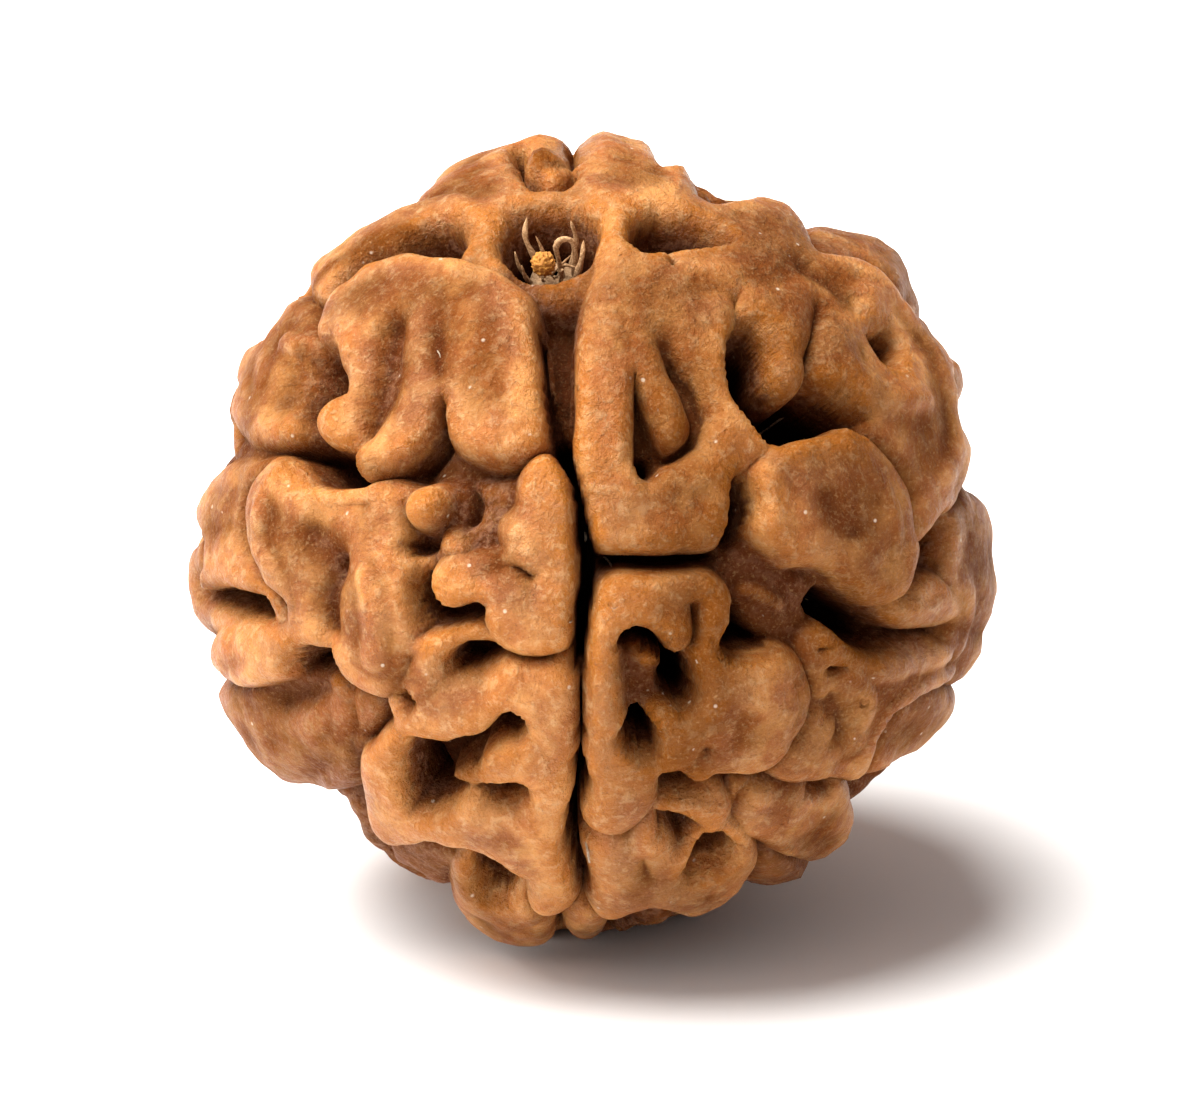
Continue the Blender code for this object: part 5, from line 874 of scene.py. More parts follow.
def cube_sphere(n):
    """Unit directions and quads of a cube blown up to a sphere, n quads along an edge, seams shared.

    On each face the point (tan a, tan b, 1) is pushed out to length 1, with a and b even from -45 to 45
    degrees.
    """
    even = np.tan(np.linspace(-math.pi / 4, math.pi / 4, n + 1))
    a, b = (grid.ravel() for grid in np.meshgrid(even, even, indexing="ij"))
    one = np.ones_like(a)
    sheets = [
        np.column_stack(columns)
        for columns in (
            (one, a, b), (-one, b, a), (b, one, a), (a, -one, b), (a, b, one), (b, a, -one),
        )
    ]
    points = np.vstack(sheets)
    points /= np.linalg.norm(points, axis=1, keepdims=True)
    corner = (np.arange(n)[:, None] * (n + 1) + np.arange(n)).ravel()
    quad = np.column_stack([corner, corner + n + 1, corner + n + 2, corner + 1])
    quads = np.vstack([quad + sheet * (n + 1) ** 2 for sheet in range(6)])
    _, first, shared = np.unique(np.round(points, 7), axis=0, return_index=True, return_inverse=True)
    return points[first], shared.ravel()[quads]


def normals_of(points, quads):
    """Unit normals at the points: the summed cross products of the diagonals of the quads round each."""
    a, b, c, d = (points[quads[:, k]] for k in range(4))
    cross = np.cross(c - a, d - b)
    total = np.column_stack(
        [np.bincount(quads.ravel(), np.repeat(cross[:, k], 4), len(points)) for k in range(3)]
    )
    return total / np.linalg.norm(total, axis=1, keepdims=True)


def relaxed(points, quads, rounds):
    """The points after rounds of p = p / 2 + (mean of its neighbours along the quads' edges) / 2."""
    ends = np.concatenate([quads, np.roll(quads, -1, axis=1)]).ravel()
    others = np.concatenate([np.roll(quads, -1, axis=1), quads]).ravel()
    count = np.bincount(ends, minlength=len(points))
    for _ in range(rounds):
        total = np.column_stack([np.bincount(ends, points[others, k], len(points)) for k in range(3)])
        points = points / 2 + total / count[:, None] / 2
    return points


def outline_reach(turn):
    """The photograph's silhouette as a distance in mm from its centre, at each turn from the right."""
    spot = (np.asarray(SILHOUETTE, float) - PHOTO_CENTRE) * [1, -1] / PHOTO_SCALE
    angle = np.arctan2(spot[:, 1], spot[:, 0])
    order = np.argsort(angle)
    return np.interp(turn, angle[order], np.linalg.norm(spot[order], axis=1), period=2 * math.pi)


def seen(points):
    """Each point's turn round the view, distance from its centre in mm, and cosine to the eye."""
    size = EYE_DISTANCE / (EYE_DISTANCE - points @ TO_EYE)
    across, rise = points[:, 0] * size, points @ VIEW_UP * size
    facing = points @ TO_EYE / np.linalg.norm(points, axis=1)
    return np.arctan2(rise, across), np.hypot(across, rise), facing


def pulled_to_outline(points):
    """The points with their limb drawn in or out, so that its silhouette is the photograph's.

    In each of LIMB_STEPS sectors of the view, the front's farthest point gives the present silhouette.
    Each point moves from the centre by 1 + (wanted / present - 1) exp(-(c / LIMB_PULL)^2), with c its
    cosine to the eye. What lies past the limb and still shows outside the wanted silhouette is then
    drawn in to it.
    """
    turn, reach, facing = seen(points)
    sector = ((turn / (2 * math.pi) + 0.5) * LIMB_STEPS).astype(int) % LIMB_STEPS
    front = facing > 0
    farthest = np.zeros(LIMB_STEPS)
    np.maximum.at(farthest, sector[front], reach[front])
    middle = (np.arange(LIMB_STEPS) + 0.5) / LIMB_STEPS * 2 * math.pi - math.pi
    change = np.interp(turn, middle, outline_reach(middle) / farthest - 1, period=2 * math.pi)
    points = points * (1 + change * np.exp(-((facing / LIMB_PULL) ** 2)))[:, None]
    turn, reach, facing = seen(points)
    share = reach / outline_reach(turn)
    inside = -smooth_max(-share, -np.full(len(share), LIMB_MOST), LIMB_SOFT)
    past = np.clip(1 - facing / LIMB_SOFT, 0, 1)
    return points * (1 + past * (inside / share - 1))[:, None]


def stone_points(directions, quads, height):
    """Points in mm of the stone: the heights along the directions, then lobes swollen over their pits.

    The swell moves each point by s along the surface normal and back by s along its direction, with s
    rising from 0 in the pits to SWELL on the lobes, so it widens the lobes without raising them.
    """
    points = directions * (LOBE_RADIUS + height)[:, None]
    swell = SWELL * np.clip(1 - height / SWELL_FROM, 0, 1)
    points = points + (normals_of(points, quads) - directions) * swell[:, None]
    points = pulled_to_outline(relaxed(points, quads, RELAX_ROUNDS))
    return points + CENTRE


def in_hole(local):
    """Rows (right, forward, depth below the rim) at the top hole, in mm, as places in mm."""
    pole, front, side = bead_frame()
    local = np.asarray(local, float)
    place = np.outer(local[:, 0], side) + np.outer(local[:, 1], front)
    place += (LOBE_RADIUS + HOLE_RIM - local[:, 2])[:, None] * pole
    return place + CENTRE


# Meshes


def put_mesh(name, points, faces, surface, body_slot):
    """A smooth mesh object at the origin from points in mm and an array of faces, riding on the bead."""
    mesh = bpy.data.meshes.new(name)
    faces = np.asarray(faces, np.int32)
    mesh.vertices.add(len(points))
    mesh.vertices.foreach_set("co", (np.asarray(points) * MM).astype(np.float32).ravel())
    mesh.loops.add(faces.size)
    mesh.loops.foreach_set("vertex_index", faces.ravel())
    mesh.polygons.add(len(faces))
    mesh.polygons.foreach_set("loop_start", np.arange(len(faces), dtype=np.int32) * faces.shape[1])
    mesh.polygons.foreach_set("use_smooth", np.ones(len(faces), bool))
    mesh.update(calc_edges=True)
    mesh.validate()
    mesh.materials.append(surface)
    made = bpy.data.objects.new(name, mesh)
    bpy.context.scene.collection.objects.link(made)
    if body_slot:
        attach(made, "root")
    return made


def give_values(piece, name, values):
    """Store one number for each point of the mesh, for the material to read."""
    layer = piece.data.attributes.new(name, "FLOAT", "POINT")
    layer.data.foreach_set("value", np.asarray(values, np.float32))


def bulge(points, quads, rounds):
    """How far each point stands out along its normal from the surface relaxed round it, in mm."""
    return np.einsum("ij,ij->i", points - relaxed(points, quads, rounds), normals_of(points, quads))


# Materials

# Linear colours of the stone, from its tips down to its pits, the last three also painted shade in its
# hollows, then of the dust and of the painted shade deep in the hole
LIGHT_TAN = (0.56, 0.240, 0.062)
DEEP_TAN = (0.37, 0.112, 0.018)
BROWN_TAN = (0.15, 0.042, 0.008)
AMBER = (0.40, 0.128, 0.008)
PINK_POWDER = (0.24, 0.110, 0.062)
PALE_FLECK = (0.62, 0.38, 0.175)
RED_BROWN_AND_PAINTED_SHADE = (0.060, 0.012, 0.0025)
DARK_BROWN_AND_PAINTED_SHADE = (0.024, 0.0045, 0.0012)
PIT_BLACK_AND_PAINTED_SHADE = (0.005, 0.001, 0.0007)
DUST = (0.70, 0.58, 0.45)
PAINTED_HOLE_SHADE = (0.035, 0.018, 0.008)

# The dark and light tones of each dry thing
STRAW = ((0.30, 0.145, 0.05), (0.62, 0.38, 0.19))
PULP = ((0.34, 0.115, 0.010), (0.60, 0.27, 0.035))
PALE_HAIR = ((0.22, 0.14, 0.08), (0.46, 0.36, 0.26))

# How strongly every bump is felt
BUMP_STRENGTH = 0.9


class Nodes:
    """A small writer of shader nodes: each call adds one node and returns the socket it gives."""

    def __init__(self, tree):
        self.tree = tree

    def add(self, kind, **settings):
        """A new node with these settings."""
        node = self.tree.nodes.new(kind)
        for key, value in settings.items():
            setattr(node, key, value)
        return node

    def plug(self, value, socket):
        """Link a socket, or set a number or colour, into an input."""
        if isinstance(value, bpy.types.NodeSocket):
            self.tree.links.new(value, socket)
        elif socket.type == "RGBA":
            socket.default_value = (*value, 1.0)
        else:
            socket.default_value = value

    def value_of(self, name):
        """A number that the mesh holds at each point."""
        return self.add("ShaderNodeAttribute", attribute_name=name).outputs["Fac"]

    def place(self):
        """The Object coordinates."""
        return self.add("ShaderNodeTexCoord").outputs["Object"]

    def maths(self, operation, *values, clamp=False):
        """One step of arithmetic."""
        node = self.add("ShaderNodeMath", operation=operation, use_clamp=clamp)
        for value, socket in zip(values, node.inputs):
            self.plug(value, socket)
        return node.outputs[0]

    def span(self, value, low, high, start=0.0, end=1.0):
        """Smoothly from start at low to end at high."""
        node = self.add("ShaderNodeMapRange", interpolation_type="SMOOTHSTEP")
        for number, socket in zip((value, low, high, start, end), node.inputs):
            self.plug(number, socket)
        return node.outputs[0]

    def noise(self, scale, detail=3.0, rough=0.5, twist=0.0, place=None):
        """Fractal noise with this many waves in a metre, about 0.5 on the whole."""
        node = self.add("ShaderNodeTexNoise")
        self.plug(place or self.place(), node.inputs["Vector"])
        names = ("Scale", "Detail", "Roughness", "Distortion")
        for name, number in zip(names, (scale, detail, rough, twist)):
            node.inputs[name].default_value = number
        return node.outputs["Fac"]

    def cells(self, scale, place=None):
        """The distance to the nearest of scattered points, in cells."""
        node = self.add("ShaderNodeTexVoronoi")
        self.plug(place or self.place(), node.inputs["Vector"])
        node.inputs["Scale"].default_value = scale
        return node.outputs["Distance"]

    def blend(self, share, below, above):
        """The first colour where the share is 0, the second where it is 1."""
        node = self.add("ShaderNodeMix", data_type="RGBA")
        self.plug(share, node.inputs["Factor"])
        self.plug(below, node.inputs["A"])
        self.plug(above, node.inputs["B"])
        return node.outputs["Result"]

    def bump(self, height, distance, normal=None):
        """A normal tilted by a height of 0 to 1 over this distance in metres, on top of another."""
        node = self.add("ShaderNodeBump")
        node.inputs["Distance"].default_value = distance
        node.inputs["Strength"].default_value = BUMP_STRENGTH
        self.plug(height, node.inputs["Height"])
        if normal is not None:
            self.plug(normal, node.inputs["Normal"])
        return node.outputs["Normal"]


def grain_group():
    """Dry grain that every part of the bead shares: fine mottling, and sparse specks of dust."""
    group = bpy.data.node_groups.new("dry grain", "ShaderNodeTree")
    group.interface.new_socket("Scale", in_out="INPUT", socket_type="NodeSocketFloat")
    group.interface.new_socket("Mottle", in_out="OUTPUT", socket_type="NodeSocketFloat")
    group.interface.new_socket("Specks", in_out="OUTPUT", socket_type="NodeSocketFloat")
    nodes = Nodes(group)
    given = nodes.add("NodeGroupInput").outputs["Scale"]
    scaled = nodes.add("ShaderNodeVectorMath", operation="SCALE")
    nodes.plug(nodes.place(), scaled.inputs[0])
    nodes.plug(given, scaled.inputs["Scale"])
    place = scaled.outputs[0]
    mottle = nodes.noise(9000.0, 4.0, 0.65, 0.6, place)
    dots = nodes.span(nodes.cells(1500.0, place), 0.05, 0.13, 1.0, 0.0)
    rare = nodes.span(nodes.noise(1300.0, 1.0, 0.5, 0.0, place), 0.56, 0.62)
    specks = nodes.maths("MULTIPLY", dots, rare)
    out = nodes.add("NodeGroupOutput")
    nodes.plug(mottle, out.inputs["Mottle"])
    nodes.plug(specks, out.inputs["Specks"])
    return group


def new_material(name):
    """A named material, its node writer and its Principled shader."""
    made = bpy.data.materials.new(name)
    made.use_nodes = True
    return made, Nodes(made.node_tree), made.node_tree.nodes["Principled BSDF"]


def grain_of(nodes, group, scale):
    """Place the grain group in a material, and give its two outputs."""
    node = nodes.add("ShaderNodeGroup", node_tree=group)
    node.inputs["Scale"].default_value = scale
    return node.outputs["Mottle"], node.outputs["Specks"]


def stone_material(group):
    """Waxy woody stone: tan lobes, amber tips, pinkish powder; painted shade browns walls and blackens
    pits.
    """
    made, nodes, shader = new_material("waxy tan stone")
    height, ridge, lobe, stain_and_painted_shade = (nodes.value_of(name) for name in ("height", "ridge", "lobe", "stain_and_painted_shade"))
    mottle, specks = grain_of(nodes, group, 1.0)
    broad = nodes.noise(260.0, 3.0, 0.55, 0.4)
    patch = nodes.noise(820.0, 4.0, 0.6, 0.6)
    scurf = nodes.noise(2900.0, 5.0, 0.72, 0.25)
    fine = nodes.noise(3600.0, 4.0, 0.65)
    wobble = nodes.maths("ADD", height, nodes.span(patch, 0.2, 0.8, -0.25, 0.25))

    # Patchy tan, amber where the surface stands out, with pale scurf
    tan = nodes.blend(nodes.span(patch, 0.36, 0.62), LIGHT_TAN, DEEP_TAN)
    tan = nodes.blend(nodes.span(broad, 0.42, 0.60, 0.0, 0.5), tan, BROWN_TAN)
    crest = nodes.span(ridge, 0.06, 0.30, 0.0, 0.35)
    tip = nodes.maths("ADD", nodes.span(lobe, 0.20, 0.60, 0.0, 0.75), crest)
    tip = nodes.maths("MULTIPLY", tip, nodes.span(patch, 0.38, 0.56, 0.25, 1.0), clamp=True)
    colour = nodes.blend(nodes.maths("MULTIPLY", tip, 0.9), tan, AMBER)
    colour = nodes.blend(nodes.span(scurf, 0.50, 0.64, 0.0, 0.38), colour, PALE_FLECK)

    # Red-brown painted shade on the walls and in the creases, mixed with named places darkened by staining
    # and by painted shade; pinkish powder on the slopes; near-black painted shade deep in the pits over
    # their own dark tone; and specks of dust
    shade = nodes.maths("MAXIMUM", nodes.span(lobe, 0.38, -0.12), nodes.span(wobble, 0.35, -0.8))
    shade = nodes.maths("MAXIMUM", shade, nodes.span(ridge, 0.0, -0.16, 0.0, 0.9))
    shade = nodes.maths("MAXIMUM", nodes.maths("MULTIPLY", shade, 0.92), stain_and_painted_shade)
    colour = nodes.blend(shade, colour, RED_BROWN_AND_PAINTED_SHADE)
    powder = nodes.span(scurf, 0.42, 0.60)
    for share in (
        nodes.span(broad, 0.40, 0.58, 0.25, 1.0),
        nodes.span(height, 0.0, -0.5),
        nodes.span(height, -1.9, -1.2),
        nodes.span(stain_and_painted_shade, 0.0, 0.7, 0.62, 0.15),
    ):
        powder = nodes.maths("MULTIPLY", powder, share)
    colour = nodes.blend(powder, colour, PINK_POWDER)
    colour = nodes.blend(nodes.span(mottle, 0.52, 0.74, 0.0, 0.22), colour, PALE_FLECK)
    colour = nodes.blend(nodes.span(mottle, 0.48, 0.28, 0.0, 0.30), colour, RED_BROWN_AND_PAINTED_SHADE)
    # Painted shade over the pits' own dark tone: dark brown, then near black, the lower the surface lies
    colour = nodes.blend(nodes.span(wobble, -1.2, -2.1, 0.0, 0.88), colour, DARK_BROWN_AND_PAINTED_SHADE)
    colour = nodes.blend(nodes.span(wobble, -1.8, -2.7, 0.0, 0.97), colour, PIT_BLACK_AND_PAINTED_SHADE)
    colour = nodes.blend(nodes.maths("MULTIPLY", specks, 0.6), colour, DUST)
    nodes.plug(colour, shader.inputs["Base Color"])

    # Waxy on the tips, dull in the hollows
    rough = nodes.span(ridge, -0.12, 0.14, 0.68, 0.36)
    rough = nodes.maths("ADD", rough, nodes.span(fine, 0.3, 0.7, -0.06, 0.10))
    nodes.plug(rough, shader.inputs["Roughness"])
    nodes.plug(nodes.span(shade, 0.0, 0.75, 0.30, 0.03), shader.inputs["Specular IOR Level"])
    shader.inputs["Subsurface Weight"].default_value = 0.14
    shader.inputs["Subsurface Radius"].default_value = (1.0, 0.42, 0.14)
    shader.inputs["Subsurface Scale"].default_value = 0.0005

    # Relief finer than the mesh: lumps, dents, grain and a few pinholes
    pores = nodes.span(nodes.cells(620.0), 0.05, 0.12)
    rare = nodes.span(nodes.noise(420.0, 1.0), 0.60, 0.66, 1.0, 0.0)
    pores = nodes.maths("MAXIMUM", pores, rare)
    lumps = nodes.bump(nodes.noise(1000.0, 4.0, 0.55, 0.4), 0.00028)
    dents = nodes.bump(scurf, 0.00022, lumps)
    grain = nodes.bump(nodes.noise(8000.0, 3.0, 0.65), 0.000036, dents)
    nodes.plug(nodes.bump(pores, 0.00012, grain), shader.inputs["Normal"])
    return made


def dry_material(name, group, tones, rough):
    """Dry fibres or pulp: two tones mottled by the shared grain, and painted shade darker with depth in the
    hole.
    """
    made, nodes, shader = new_material(name)
    mottle, _ = grain_of(nodes, group, 1.3)
    colour = nodes.blend(nodes.span(mottle, 0.36, 0.64), *tones)
    # Painted shade: darker the deeper below the hole's rim
    depth = nodes.value_of("depth")
    colour = nodes.blend(nodes.span(depth, 0.7, 1.9, 0.0, 0.92), colour, PAINTED_HOLE_SHADE)
    nodes.plug(colour, shader.inputs["Base Color"])
    shader.inputs["Roughness"].default_value = rough
    nodes.plug(nodes.bump(mottle, 0.00006), shader.inputs["Normal"])
    return made


# Pieces

# Dry fibres: taper, knots as (swing, turns along it, turns by half-width), flatness, how sharply the
# tip rounds off, and the ring at each closed end, with how long the steps along them are in mm
FIBRE_TAPER = 0.4
FIBRE_KNOTS = (0.15, 17, 90)
FIBRE_FLAT = 0.62
FIBRE_ROUNDING = 8
FIBRE_END = 0.02
FIBRE_STEP = 0.12


def ring_pairs(rings, sides):
    """For each side of each ring but the last, the number of its point and of the next one round."""
    row, k = (grid.ravel() for grid in np.meshgrid(np.arange(rings - 1), np.arange(sides), indexing="ij"))
    return row * sides + k, row * sides + (k + 1) % sides


def many_tubes(lines, sides=7):
    """Tapered tubes in one mesh, from (half-width in mm, rows (x, y, z)), as points and quads.

    Along a line c(s) with directions e1, e2 across it, a ring is c + r(s) (cos t e1 + f sin t e2) with f
    its flatness. r falls from the full half-width at the root to a blunt tip, with knots as a sine, and
    each end draws in to an open ring of almost no width.
    """
    points, faces = [], []
    start = 0
    swing, turns, by_width = FIBRE_KNOTS
    for radius, line in lines:
        path = smooth_path(line, FIBRE_STEP)
        along = np.gradient(path, axis=0)
        along /= np.linalg.norm(along, axis=1, keepdims=True)
        across = np.cross(along, [0.31, 0.77, 0.55])
        across /= np.linalg.norm(across, axis=1, keepdims=True)
        third = np.cross(along, across)
        turn = np.arange(sides) * 2 * math.pi / sides
        share = np.linspace(0, 1, len(path))
        knots = 1 + swing * np.sin(share * turns + radius * by_width)
        wide = radius * (1.0 - FIBRE_TAPER * share) * knots
        wide = wide * np.sqrt(1 + FIBRE_END - share**FIBRE_ROUNDING)
        path = np.vstack([path[:1], path, path[-1:]])
        across, third = (np.vstack([v[:1], v, v[-1:]]) for v in (across, third))
        wide = np.concatenate([[radius * FIBRE_END], wide, [radius * FIBRE_END]])
        ring = np.cos(turn)[:, None] * across[:, None]
        ring = ring + FIBRE_FLAT * np.sin(turn)[:, None] * third[:, None]
        points.append((path[:, None] + ring * wide[:, None, None]).reshape(-1, 3))
        a, b = ring_pairs(len(path), sides)
        faces.append(np.column_stack([a, b, b + sides, a + sides]) + start)
        start += len(points[-1])
    return np.vstack(points), np.vstack(faces)


def surface_place(pixel, lift):
    """The place in mm where a pixel of the photograph meets the stone, lifted off it by this much."""
    direction = onto_sphere(np.array([pixel], float), 0.0)
    place = direction * (LOBE_RADIUS + heights(direction)[:, None] + lift)
    return place[0] + CENTRE


# Darker places of the stone, partly from staining and partly painted shade, as on the whole right flank,
# in hollows and under overhangs: name, share, then (x, y, half-width) in pixels
STAINS_AND_PAINTED_SHADE = (
    ("the right flank", 0.58, ((760, 260, 90), (830, 400, 120), (870, 560, 120), (830, 700, 120))),
    ("right of the groove", 0.66, ((650, 300, 60), (680, 450, 75), (700, 600, 75), (680, 760, 70))),
    ("under the left ridge", 0.75, ((318, 288, 10), (350, 264, 12), (395, 238, 16), (450, 232, 18))),
    ("hollow by the left plate", 0.75, ((300, 352, 14), (330, 366, 16), (338, 392, 12), (310, 400, 14))),
    ("beside the thumb", 0.30, ((396, 330, 20), (384, 370, 26), (368, 420, 18))),
    ("groove mouth", 0.40, ((566, 310, 14), (562, 360, 16), (562, 430, 16))),
    ("right top pit", 0.85, ((640, 228, 14), (670, 230, 16), (715, 238, 8))),
    ("cup of the top knob", 0.8, ((534, 160, 9), (546, 172, 10), (560, 170, 8))),
    ("shelf under the tab", 0.60, ((280, 452, 14), (340, 466, 16), (400, 474, 14), (470, 462, 14),
        (520, 466, 12))),
    ("side of the amber knob", 0.75, ((462, 494, 8), (464, 512, 9), (456, 530, 8), (430, 542, 8),
        (404, 546, 8))),
    ("between lobe f and the arm", 0.65, ((414, 566, 9), (412, 590, 12), (414, 620, 10))),
    ("under the finger slot", 0.30, ((510, 566, 8), (530, 578, 8))),
    ("panel's right half", 0.60, ((680, 330, 22), (706, 380, 26), (706, 440, 24))),
    ("panel's foot", 0.30, ((620, 520, 20), (680, 528, 20))),
    ("along the gap", 0.80, ((590, 560, 18), (660, 562, 18), (730, 566, 24), (790, 590, 24))),
    ("inside the frame", 0.60, ((628, 650, 18), (650, 690, 26), (690, 620, 12), (690, 690, 22))),
    ("right of the frame", 0.75, ((736, 600, 14), (744, 630, 20), (780, 636, 20))),
    ("trough by finger two", 0.60, ((742, 330, 14), (770, 396, 20), (830, 400, 22), (870, 420, 14))),
    ("plateau right of the panel", 0.60, ((752, 262, 30), (772, 300, 40), (800, 350, 40))),
    ("side under lump g", 0.60, ((760, 570, 40), (790, 640, 44), (830, 700, 40))),
    ("far right top", 0.40, ((860, 260, 26), (900, 310, 34), (930, 380, 24))),
    ("side of lump g", 0.45, ((744, 480, 14), (746, 530, 18), (820, 566, 14))),
    ("lump g's far edge", 0.30, ((880, 480, 16), (900, 540, 18), (896, 588, 12))),
    ("around pit k", 0.50, ((812, 600, 14), (850, 640, 24), (890, 650, 20))),
    ("slope n", 0.40, ((836, 680, 24), (834, 740, 24))),
    ("far right lobes", 0.45, ((960, 520, 24), (970, 600, 26), (940, 700, 24), (890, 750, 20))),
    ("bottom right", 0.45, ((640, 860, 26), (700, 880, 26), (760, 850, 30), (820, 830, 24))),
    ("under side of the bottom", 0.50, ((440, 866, 18), (490, 900, 26), (540, 920, 20), (590, 925, 14))),
    ("inside the ring", 0.60, ((420, 770, 22), (440, 800, 22), (500, 730, 14))),
    ("under lobe d", 0.45, ((240, 700, 22), (290, 730, 34), (340, 760, 26))),
    ("under the bench", 0.50, ((474, 656, 16), (410, 706, 8))),
)


def stains_and_painted_shade(directions):
    """How brown each direction is by its place, from staining and painted shade: the most of share
    exp(-ratio^2) over the named places.
    """
    places = directions * LOBE_RADIUS
    most = np.zeros(len(places))
    for _, share, points in STAINS_AND_PAINTED_SHADE:
        path = photo_stroke(points, 0.0)
        index = near(places, path, DENT_REACH)
        ratio, _ = reach_of(places[index], path)
        most[index] = np.maximum(most[index], share * np.exp(-(ratio**2)))
    return most


# How many rounds of smoothing tell a fine ridge, and a whole lobe, from what is round it
RIDGE_ROUNDS = 14
LOBE_ROUNDS = 80


def build_stone(group):
    """The stone's surface, flat where it rests, with the numbers that its material reads."""
    directions, quads = cube_sphere(FINE_GRID)
    height = heights(directions)
    points = stone_points(directions, quads, height)
    points[:, 2] = np.maximum(points[:, 2], 0.0)
    stone = put_mesh("stone_surface", points, quads, stone_material(group), "stone")
    give_values(stone, "height", height)
    give_values(stone, "ridge", bulge(points, quads, RIDGE_ROUNDS))
    give_values(stone, "lobe", bulge(points, quads, LOBE_ROUNDS))
    # Named places darker from staining and from painted shade
    give_values(stone, "stain_and_painted_shade", stains_and_painted_shade(directions))
    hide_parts("stone")


# Thin fibres that the solid has no room for, in mm: their count and half-width, how far out and how deep
# their roots lie, how far they bend and lean, and their rise at each point
THIN_FIBRES = 9
THIN_WIDTH = (0.05, 0.09)
THIN_REACH = (0.25, 0.85)
THIN_INWARD = 0.6
THIN_ROOT = 1.7
THIN_BEND = 0.16
THIN_LEAN = 0.45
THIN_RISE = (0.3, 0.55)
THIN_TIP = (0.6, 1.0)


def thin_fibres():
    """Seeded thin fibres round the hole, each a half-width and rows from its root up."""
    rng = np.random.default_rng(SEED + 20)
    made = []
    for _ in range(THIN_FIBRES):
        angle = rng.uniform(0, 2 * math.pi)
        out = np.array([math.cos(angle), math.sin(angle), 0.0])
        root = rng.uniform(*THIN_REACH) * out * THIN_INWARD + [0, 0, THIN_ROOT]
        bend = rng.normal(scale=THIN_BEND, size=(3, 3))
        lean = out * rng.uniform(0.0, THIN_LEAN)
        low, middle = THIN_RISE
        rows = [
            root,
            root + [0, 0, -low] + bend[0],
            root + lean * THIN_INWARD + [0, 0, -middle] + bend[1],
            root + lean + [0, 0, -rng.uniform(*THIN_TIP)] + bend[2],
        ]
        made.append((rng.uniform(*THIN_WIDTH), in_hole(rows)))
    return made


# The plug that the fibres stand in: rings and sides, radius, middle depth and half-height in mm, the
# share and number of its furrows, its waves as (height, length), and the angle at which its poles stop
PLUG_GRID = (26, 48)
PLUG_RADIUS = 0.92
PLUG_DEPTH = 2.0
PLUG_HALF = 0.72
PLUG_FURROWS = (0.07, 5)
PLUG_WAVES = (0.10, 0.5)
PLUG_POLE = 0.02


def plug_surface():
    """The ragged plug as a lens, with v from 0 at its top to pi and t round it.

    Its radius is R sin(v)^(1/2) (1 - share |sin(n t / 2)|), and its depth is D - H cos(v) plus waves.
    The radius stops at a small open ring at each pole.
    """
    rings, sides = PLUG_GRID
    share, count = PLUG_FURROWS
    v = np.linspace(0, math.pi, rings)[:, None]
    turn = np.arange(sides)[None, :] * 2 * math.pi / sides
    furrows = 1 - share * np.abs(np.sin(count / 2 * turn))
    wide = PLUG_RADIUS * np.sin(np.clip(v, PLUG_POLE, math.pi - PLUG_POLE)) ** 0.5 * furrows
    deep = PLUG_DEPTH - PLUG_HALF * np.cos(v) + np.zeros_like(turn)
    local = np.column_stack([(wide * np.cos(turn)).ravel(), (wide * np.sin(turn)).ravel(), deep.ravel()])
    swing, length = PLUG_WAVES
    local[:, 2] += swing * waves(local, length, SEED + 30)
    a, b = ring_pairs(rings, sides)
    return in_hole(local), np.column_stack([a, a + sides, b + sides, b])


def build_pith(group):
    """The pith: the solid's fibres and thinner ones between them, in their plug."""
    straw = dry_material("dry straw pith", group, STRAW, 0.8)
    thick = [(radius, in_hole(local)[::-1]) for radius, local in FIBRES]
    points, faces = many_tubes(thick + thin_fibres())
    plug, plug_faces = plug_surface()
    faces = np.vstack([faces, plug_faces + len(points)])
    points = np.vstack([points, plug])
    pith = put_mesh("pith_fibres", points, faces, straw, "pith")
    give_values(pith, "depth", depth_of(points))
    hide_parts("pith")


# The crumb's lumps, as (share of its radius, length, seed)
CRUMB_LUMPS = ((0.14, 1.5, 9), (0.22, 0.33, 10))


def build_crumb(group):
    """The crumb of pulp: a ball whose radius is R (1 + coarse waves + fine waves)."""
    yellow = dry_material("dried yellow pulp", group, PULP, 0.7)
    directions, quads = cube_sphere(CRUMB_GRID)
    lumps = 1
    for share, length, seed in CRUMB_LUMPS:
        lumps = lumps + share * waves(directions, length, SEED + seed)
    points = in_hole([CRUMB_PLACE]) + directions * (CRUMB_RADIUS * lumps)[:, None]
    crumb = put_mesh("pulp_crumb_surface", points, quads, yellow, "pulp")
    give_values(crumb, "depth", np.zeros(len(points)))
    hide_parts("pulp_crumb")


def depth_of(points):
    """How far below the hole's rim each point lies along the bead's axis, in mm."""
    pole = bead_frame()[0]
    return LOBE_RADIUS + HOLE_RIM - (points - CENTRE) @ pole


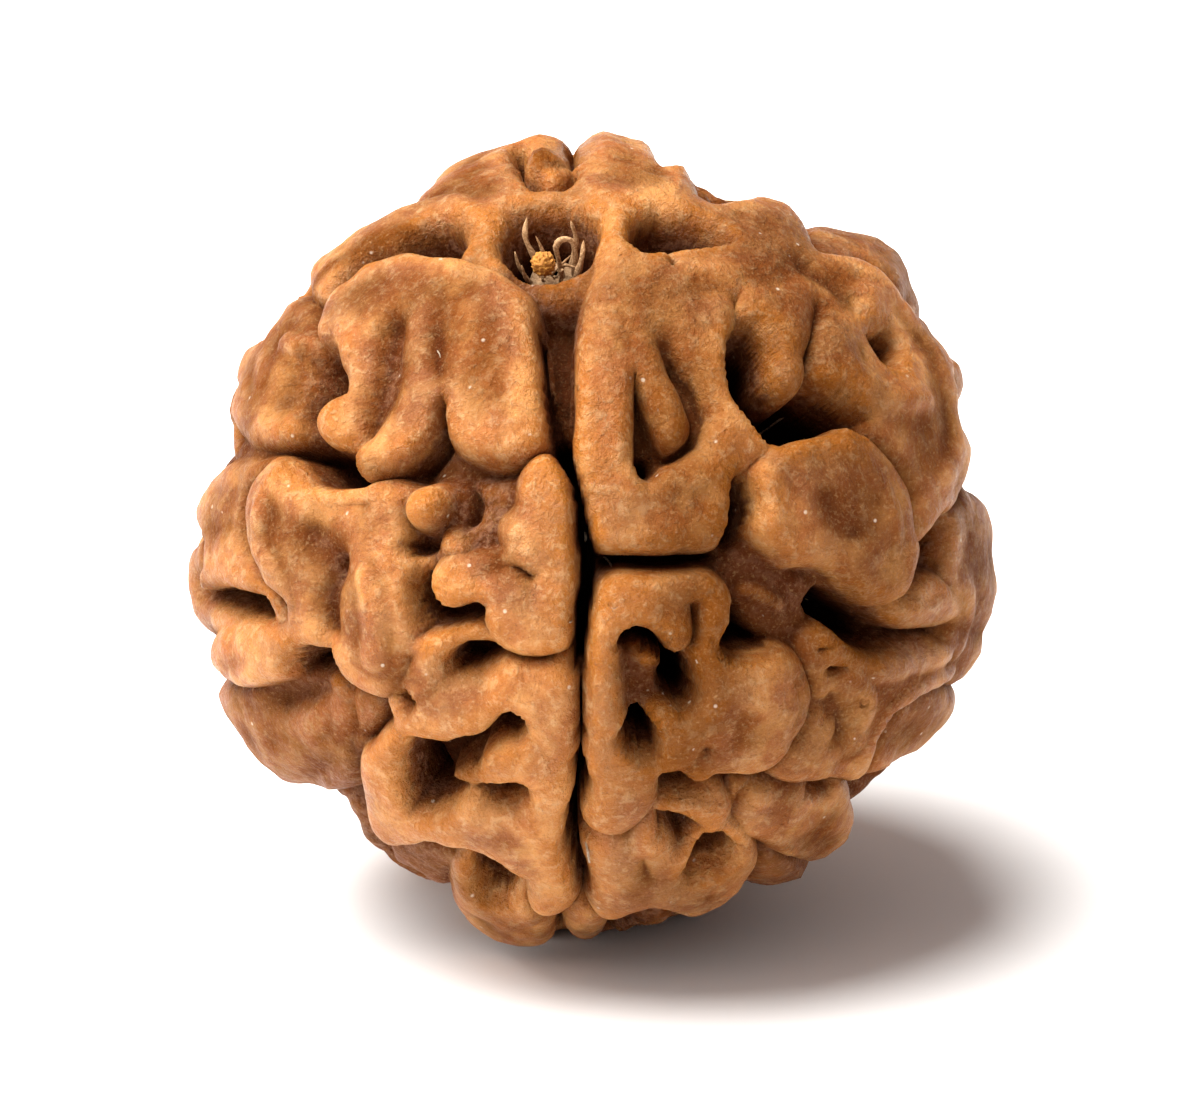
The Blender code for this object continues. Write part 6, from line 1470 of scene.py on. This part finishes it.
# Hairs caught in the pits: half-width in mm, then (x, y, height off the surface in mm); all are sunk
# by the same amount
HAIRS = (
    (0.085, ((808, 384, 0.2), (814, 396, 0.55), (820, 410, 0.3))),
    (0.075, ((826, 386, 0.1), (823, 396, 0.4), (821, 404, 0.3))),
    (0.080, ((825, 414, 0.2), (830, 426, 0.5), (838, 418, 0.3))),
    (0.080, ((874, 608, 0.0), (868, 618, 0.7), (861, 627, 0.5))),
    (0.060, ((629, 735, 0.0), (630, 725, 0.6), (640, 722, 0.6), (645, 728, 0.1))),
    (0.060, ((606, 560, 0.1), (612, 566, 0.5), (615, 573, 0.3))),
    (0.055, ((570, 622, 0.0), (573, 630, 0.4), (574, 637, 0.2))),
    (0.060, ((580, 526, 0.1), (583, 536, 0.4), (582, 545, 0.2))),
    (0.060, ((585, 842, 0.1), (589, 850, 0.4), (590, 857, 0.2))),
    (0.045, ((491, 677, 0.05), (497, 676, 0.12), (502, 676, 0.05))),
    (0.040, ((437, 350, 0.03), (440, 355, 0.10), (441, 360, 0.03))),
)
HAIR_SUNK = 0.05


def build_hairs(group):
    """Single dry hairs in the pits and the groove, their ends sunk in the stone."""
    grey = dry_material("dry pale hairs", group, PALE_HAIR, 0.8)
    lines = [
        (radius, np.array([surface_place((x, y), lift - HAIR_SUNK) for x, y, lift in row]))
        for radius, row in HAIRS
    ]
    points, faces = many_tubes(lines, 6)
    hairs = put_mesh("caught_hairs", points, faces, grey, "pith")
    give_values(hairs, "depth", np.zeros(len(points)))


# The studio

# How far the floor reaches each way, in mm
FLOOR_REACH = 4000.0


def build_floor():
    """A plain white floor, level with the bead's rest spot."""
    made, nodes, shader = new_material("white floor")
    nodes.plug((0.88, 0.88, 0.88), shader.inputs["Base Color"])
    shader.inputs["Roughness"].default_value = 0.9
    corners = np.array([(-1, -1, 0), (1, -1, 0), (1, 1, 0), (-1, 1, 0)]) * FLOOR_REACH
    floor = put_mesh("floor", corners, [[0, 1, 2, 3]], made, None)


def add_sun(name, aim, strength, angle, colour):
    """A distant light that shines along this direction, as wide as this angle in degrees."""
    light = bpy.data.lights.new(name, "SUN")
    light.energy, light.angle, light.color = strength, math.radians(angle), colour
    made = bpy.data.objects.new(name, light)
    made.rotation_euler = Vector(aim).to_track_quat("-Z", "Y").to_euler()
    bpy.context.scene.collection.objects.link(made)


def build_light():
    """Soft studio light: a key from high on the left, a weak left fill, and a white surround."""
    add_sun("key light", aim=(0.42, 0.06, -1.0), strength=8.2, angle=50, colour=(1.0, 0.985, 0.96))
    add_sun("left fill", aim=(0.95, 0.36, -0.40), strength=1.5, angle=50, colour=(1.0, 0.97, 0.94))
    world = bpy.data.worlds.new("studio")
    bpy.context.scene.world = world
    world.use_nodes = True
    nodes = Nodes(world.node_tree)
    ground = world.node_tree.nodes["Background"]
    seen = nodes.add("ShaderNodeLightPath").outputs["Is Camera Ray"]
    nodes.plug(nodes.blend(seen, (1.0, 0.88, 0.84), (1.0, 1.0, 1.0)), ground.inputs["Color"])
    nodes.plug(nodes.span(seen, 0.0, 1.0, 0.38, 1.05), ground.inputs["Strength"])
    bpy.context.scene.view_settings.view_transform = "Standard"


# The camera's sensor, in mm
SENSOR_WIDTH = 36.0


def build_camera():
    """The photograph's eye: far off and above, with the bead where the photograph has it."""
    data = bpy.data.cameras.new("camera")
    camera = bpy.data.objects.new("camera", data)
    bpy.context.scene.collection.objects.link(camera)
    back = Vector(TO_EYE)
    camera.location = Vector((0, 0, REST_HEIGHT)) + back * EYE_DISTANCE * MM
    camera.rotation_euler = (-back).to_track_quat("-Z", "Y").to_euler()
    wide, high = PHOTO_SIZE
    data.sensor_fit, data.sensor_width = "HORIZONTAL", SENSOR_WIDTH
    data.lens = SENSOR_WIDTH * EYE_DISTANCE / (wide / PHOTO_SCALE)
    data.shift_x = (wide / 2 - PHOTO_CENTRE[0]) / wide
    data.shift_y = (PHOTO_CENTRE[1] - high / 2) / wide
    data.clip_start, data.clip_end = 0.01, 10.0
    bpy.context.scene.camera = camera


def main():
    """Build every piece, the floor, the light and the camera."""
    build_camera()
    grain = grain_group()
    build_stone(grain)
    build_pith(grain)
    build_crumb(grain)
    build_hairs(grain)
    build_floor()
    build_light()


main()
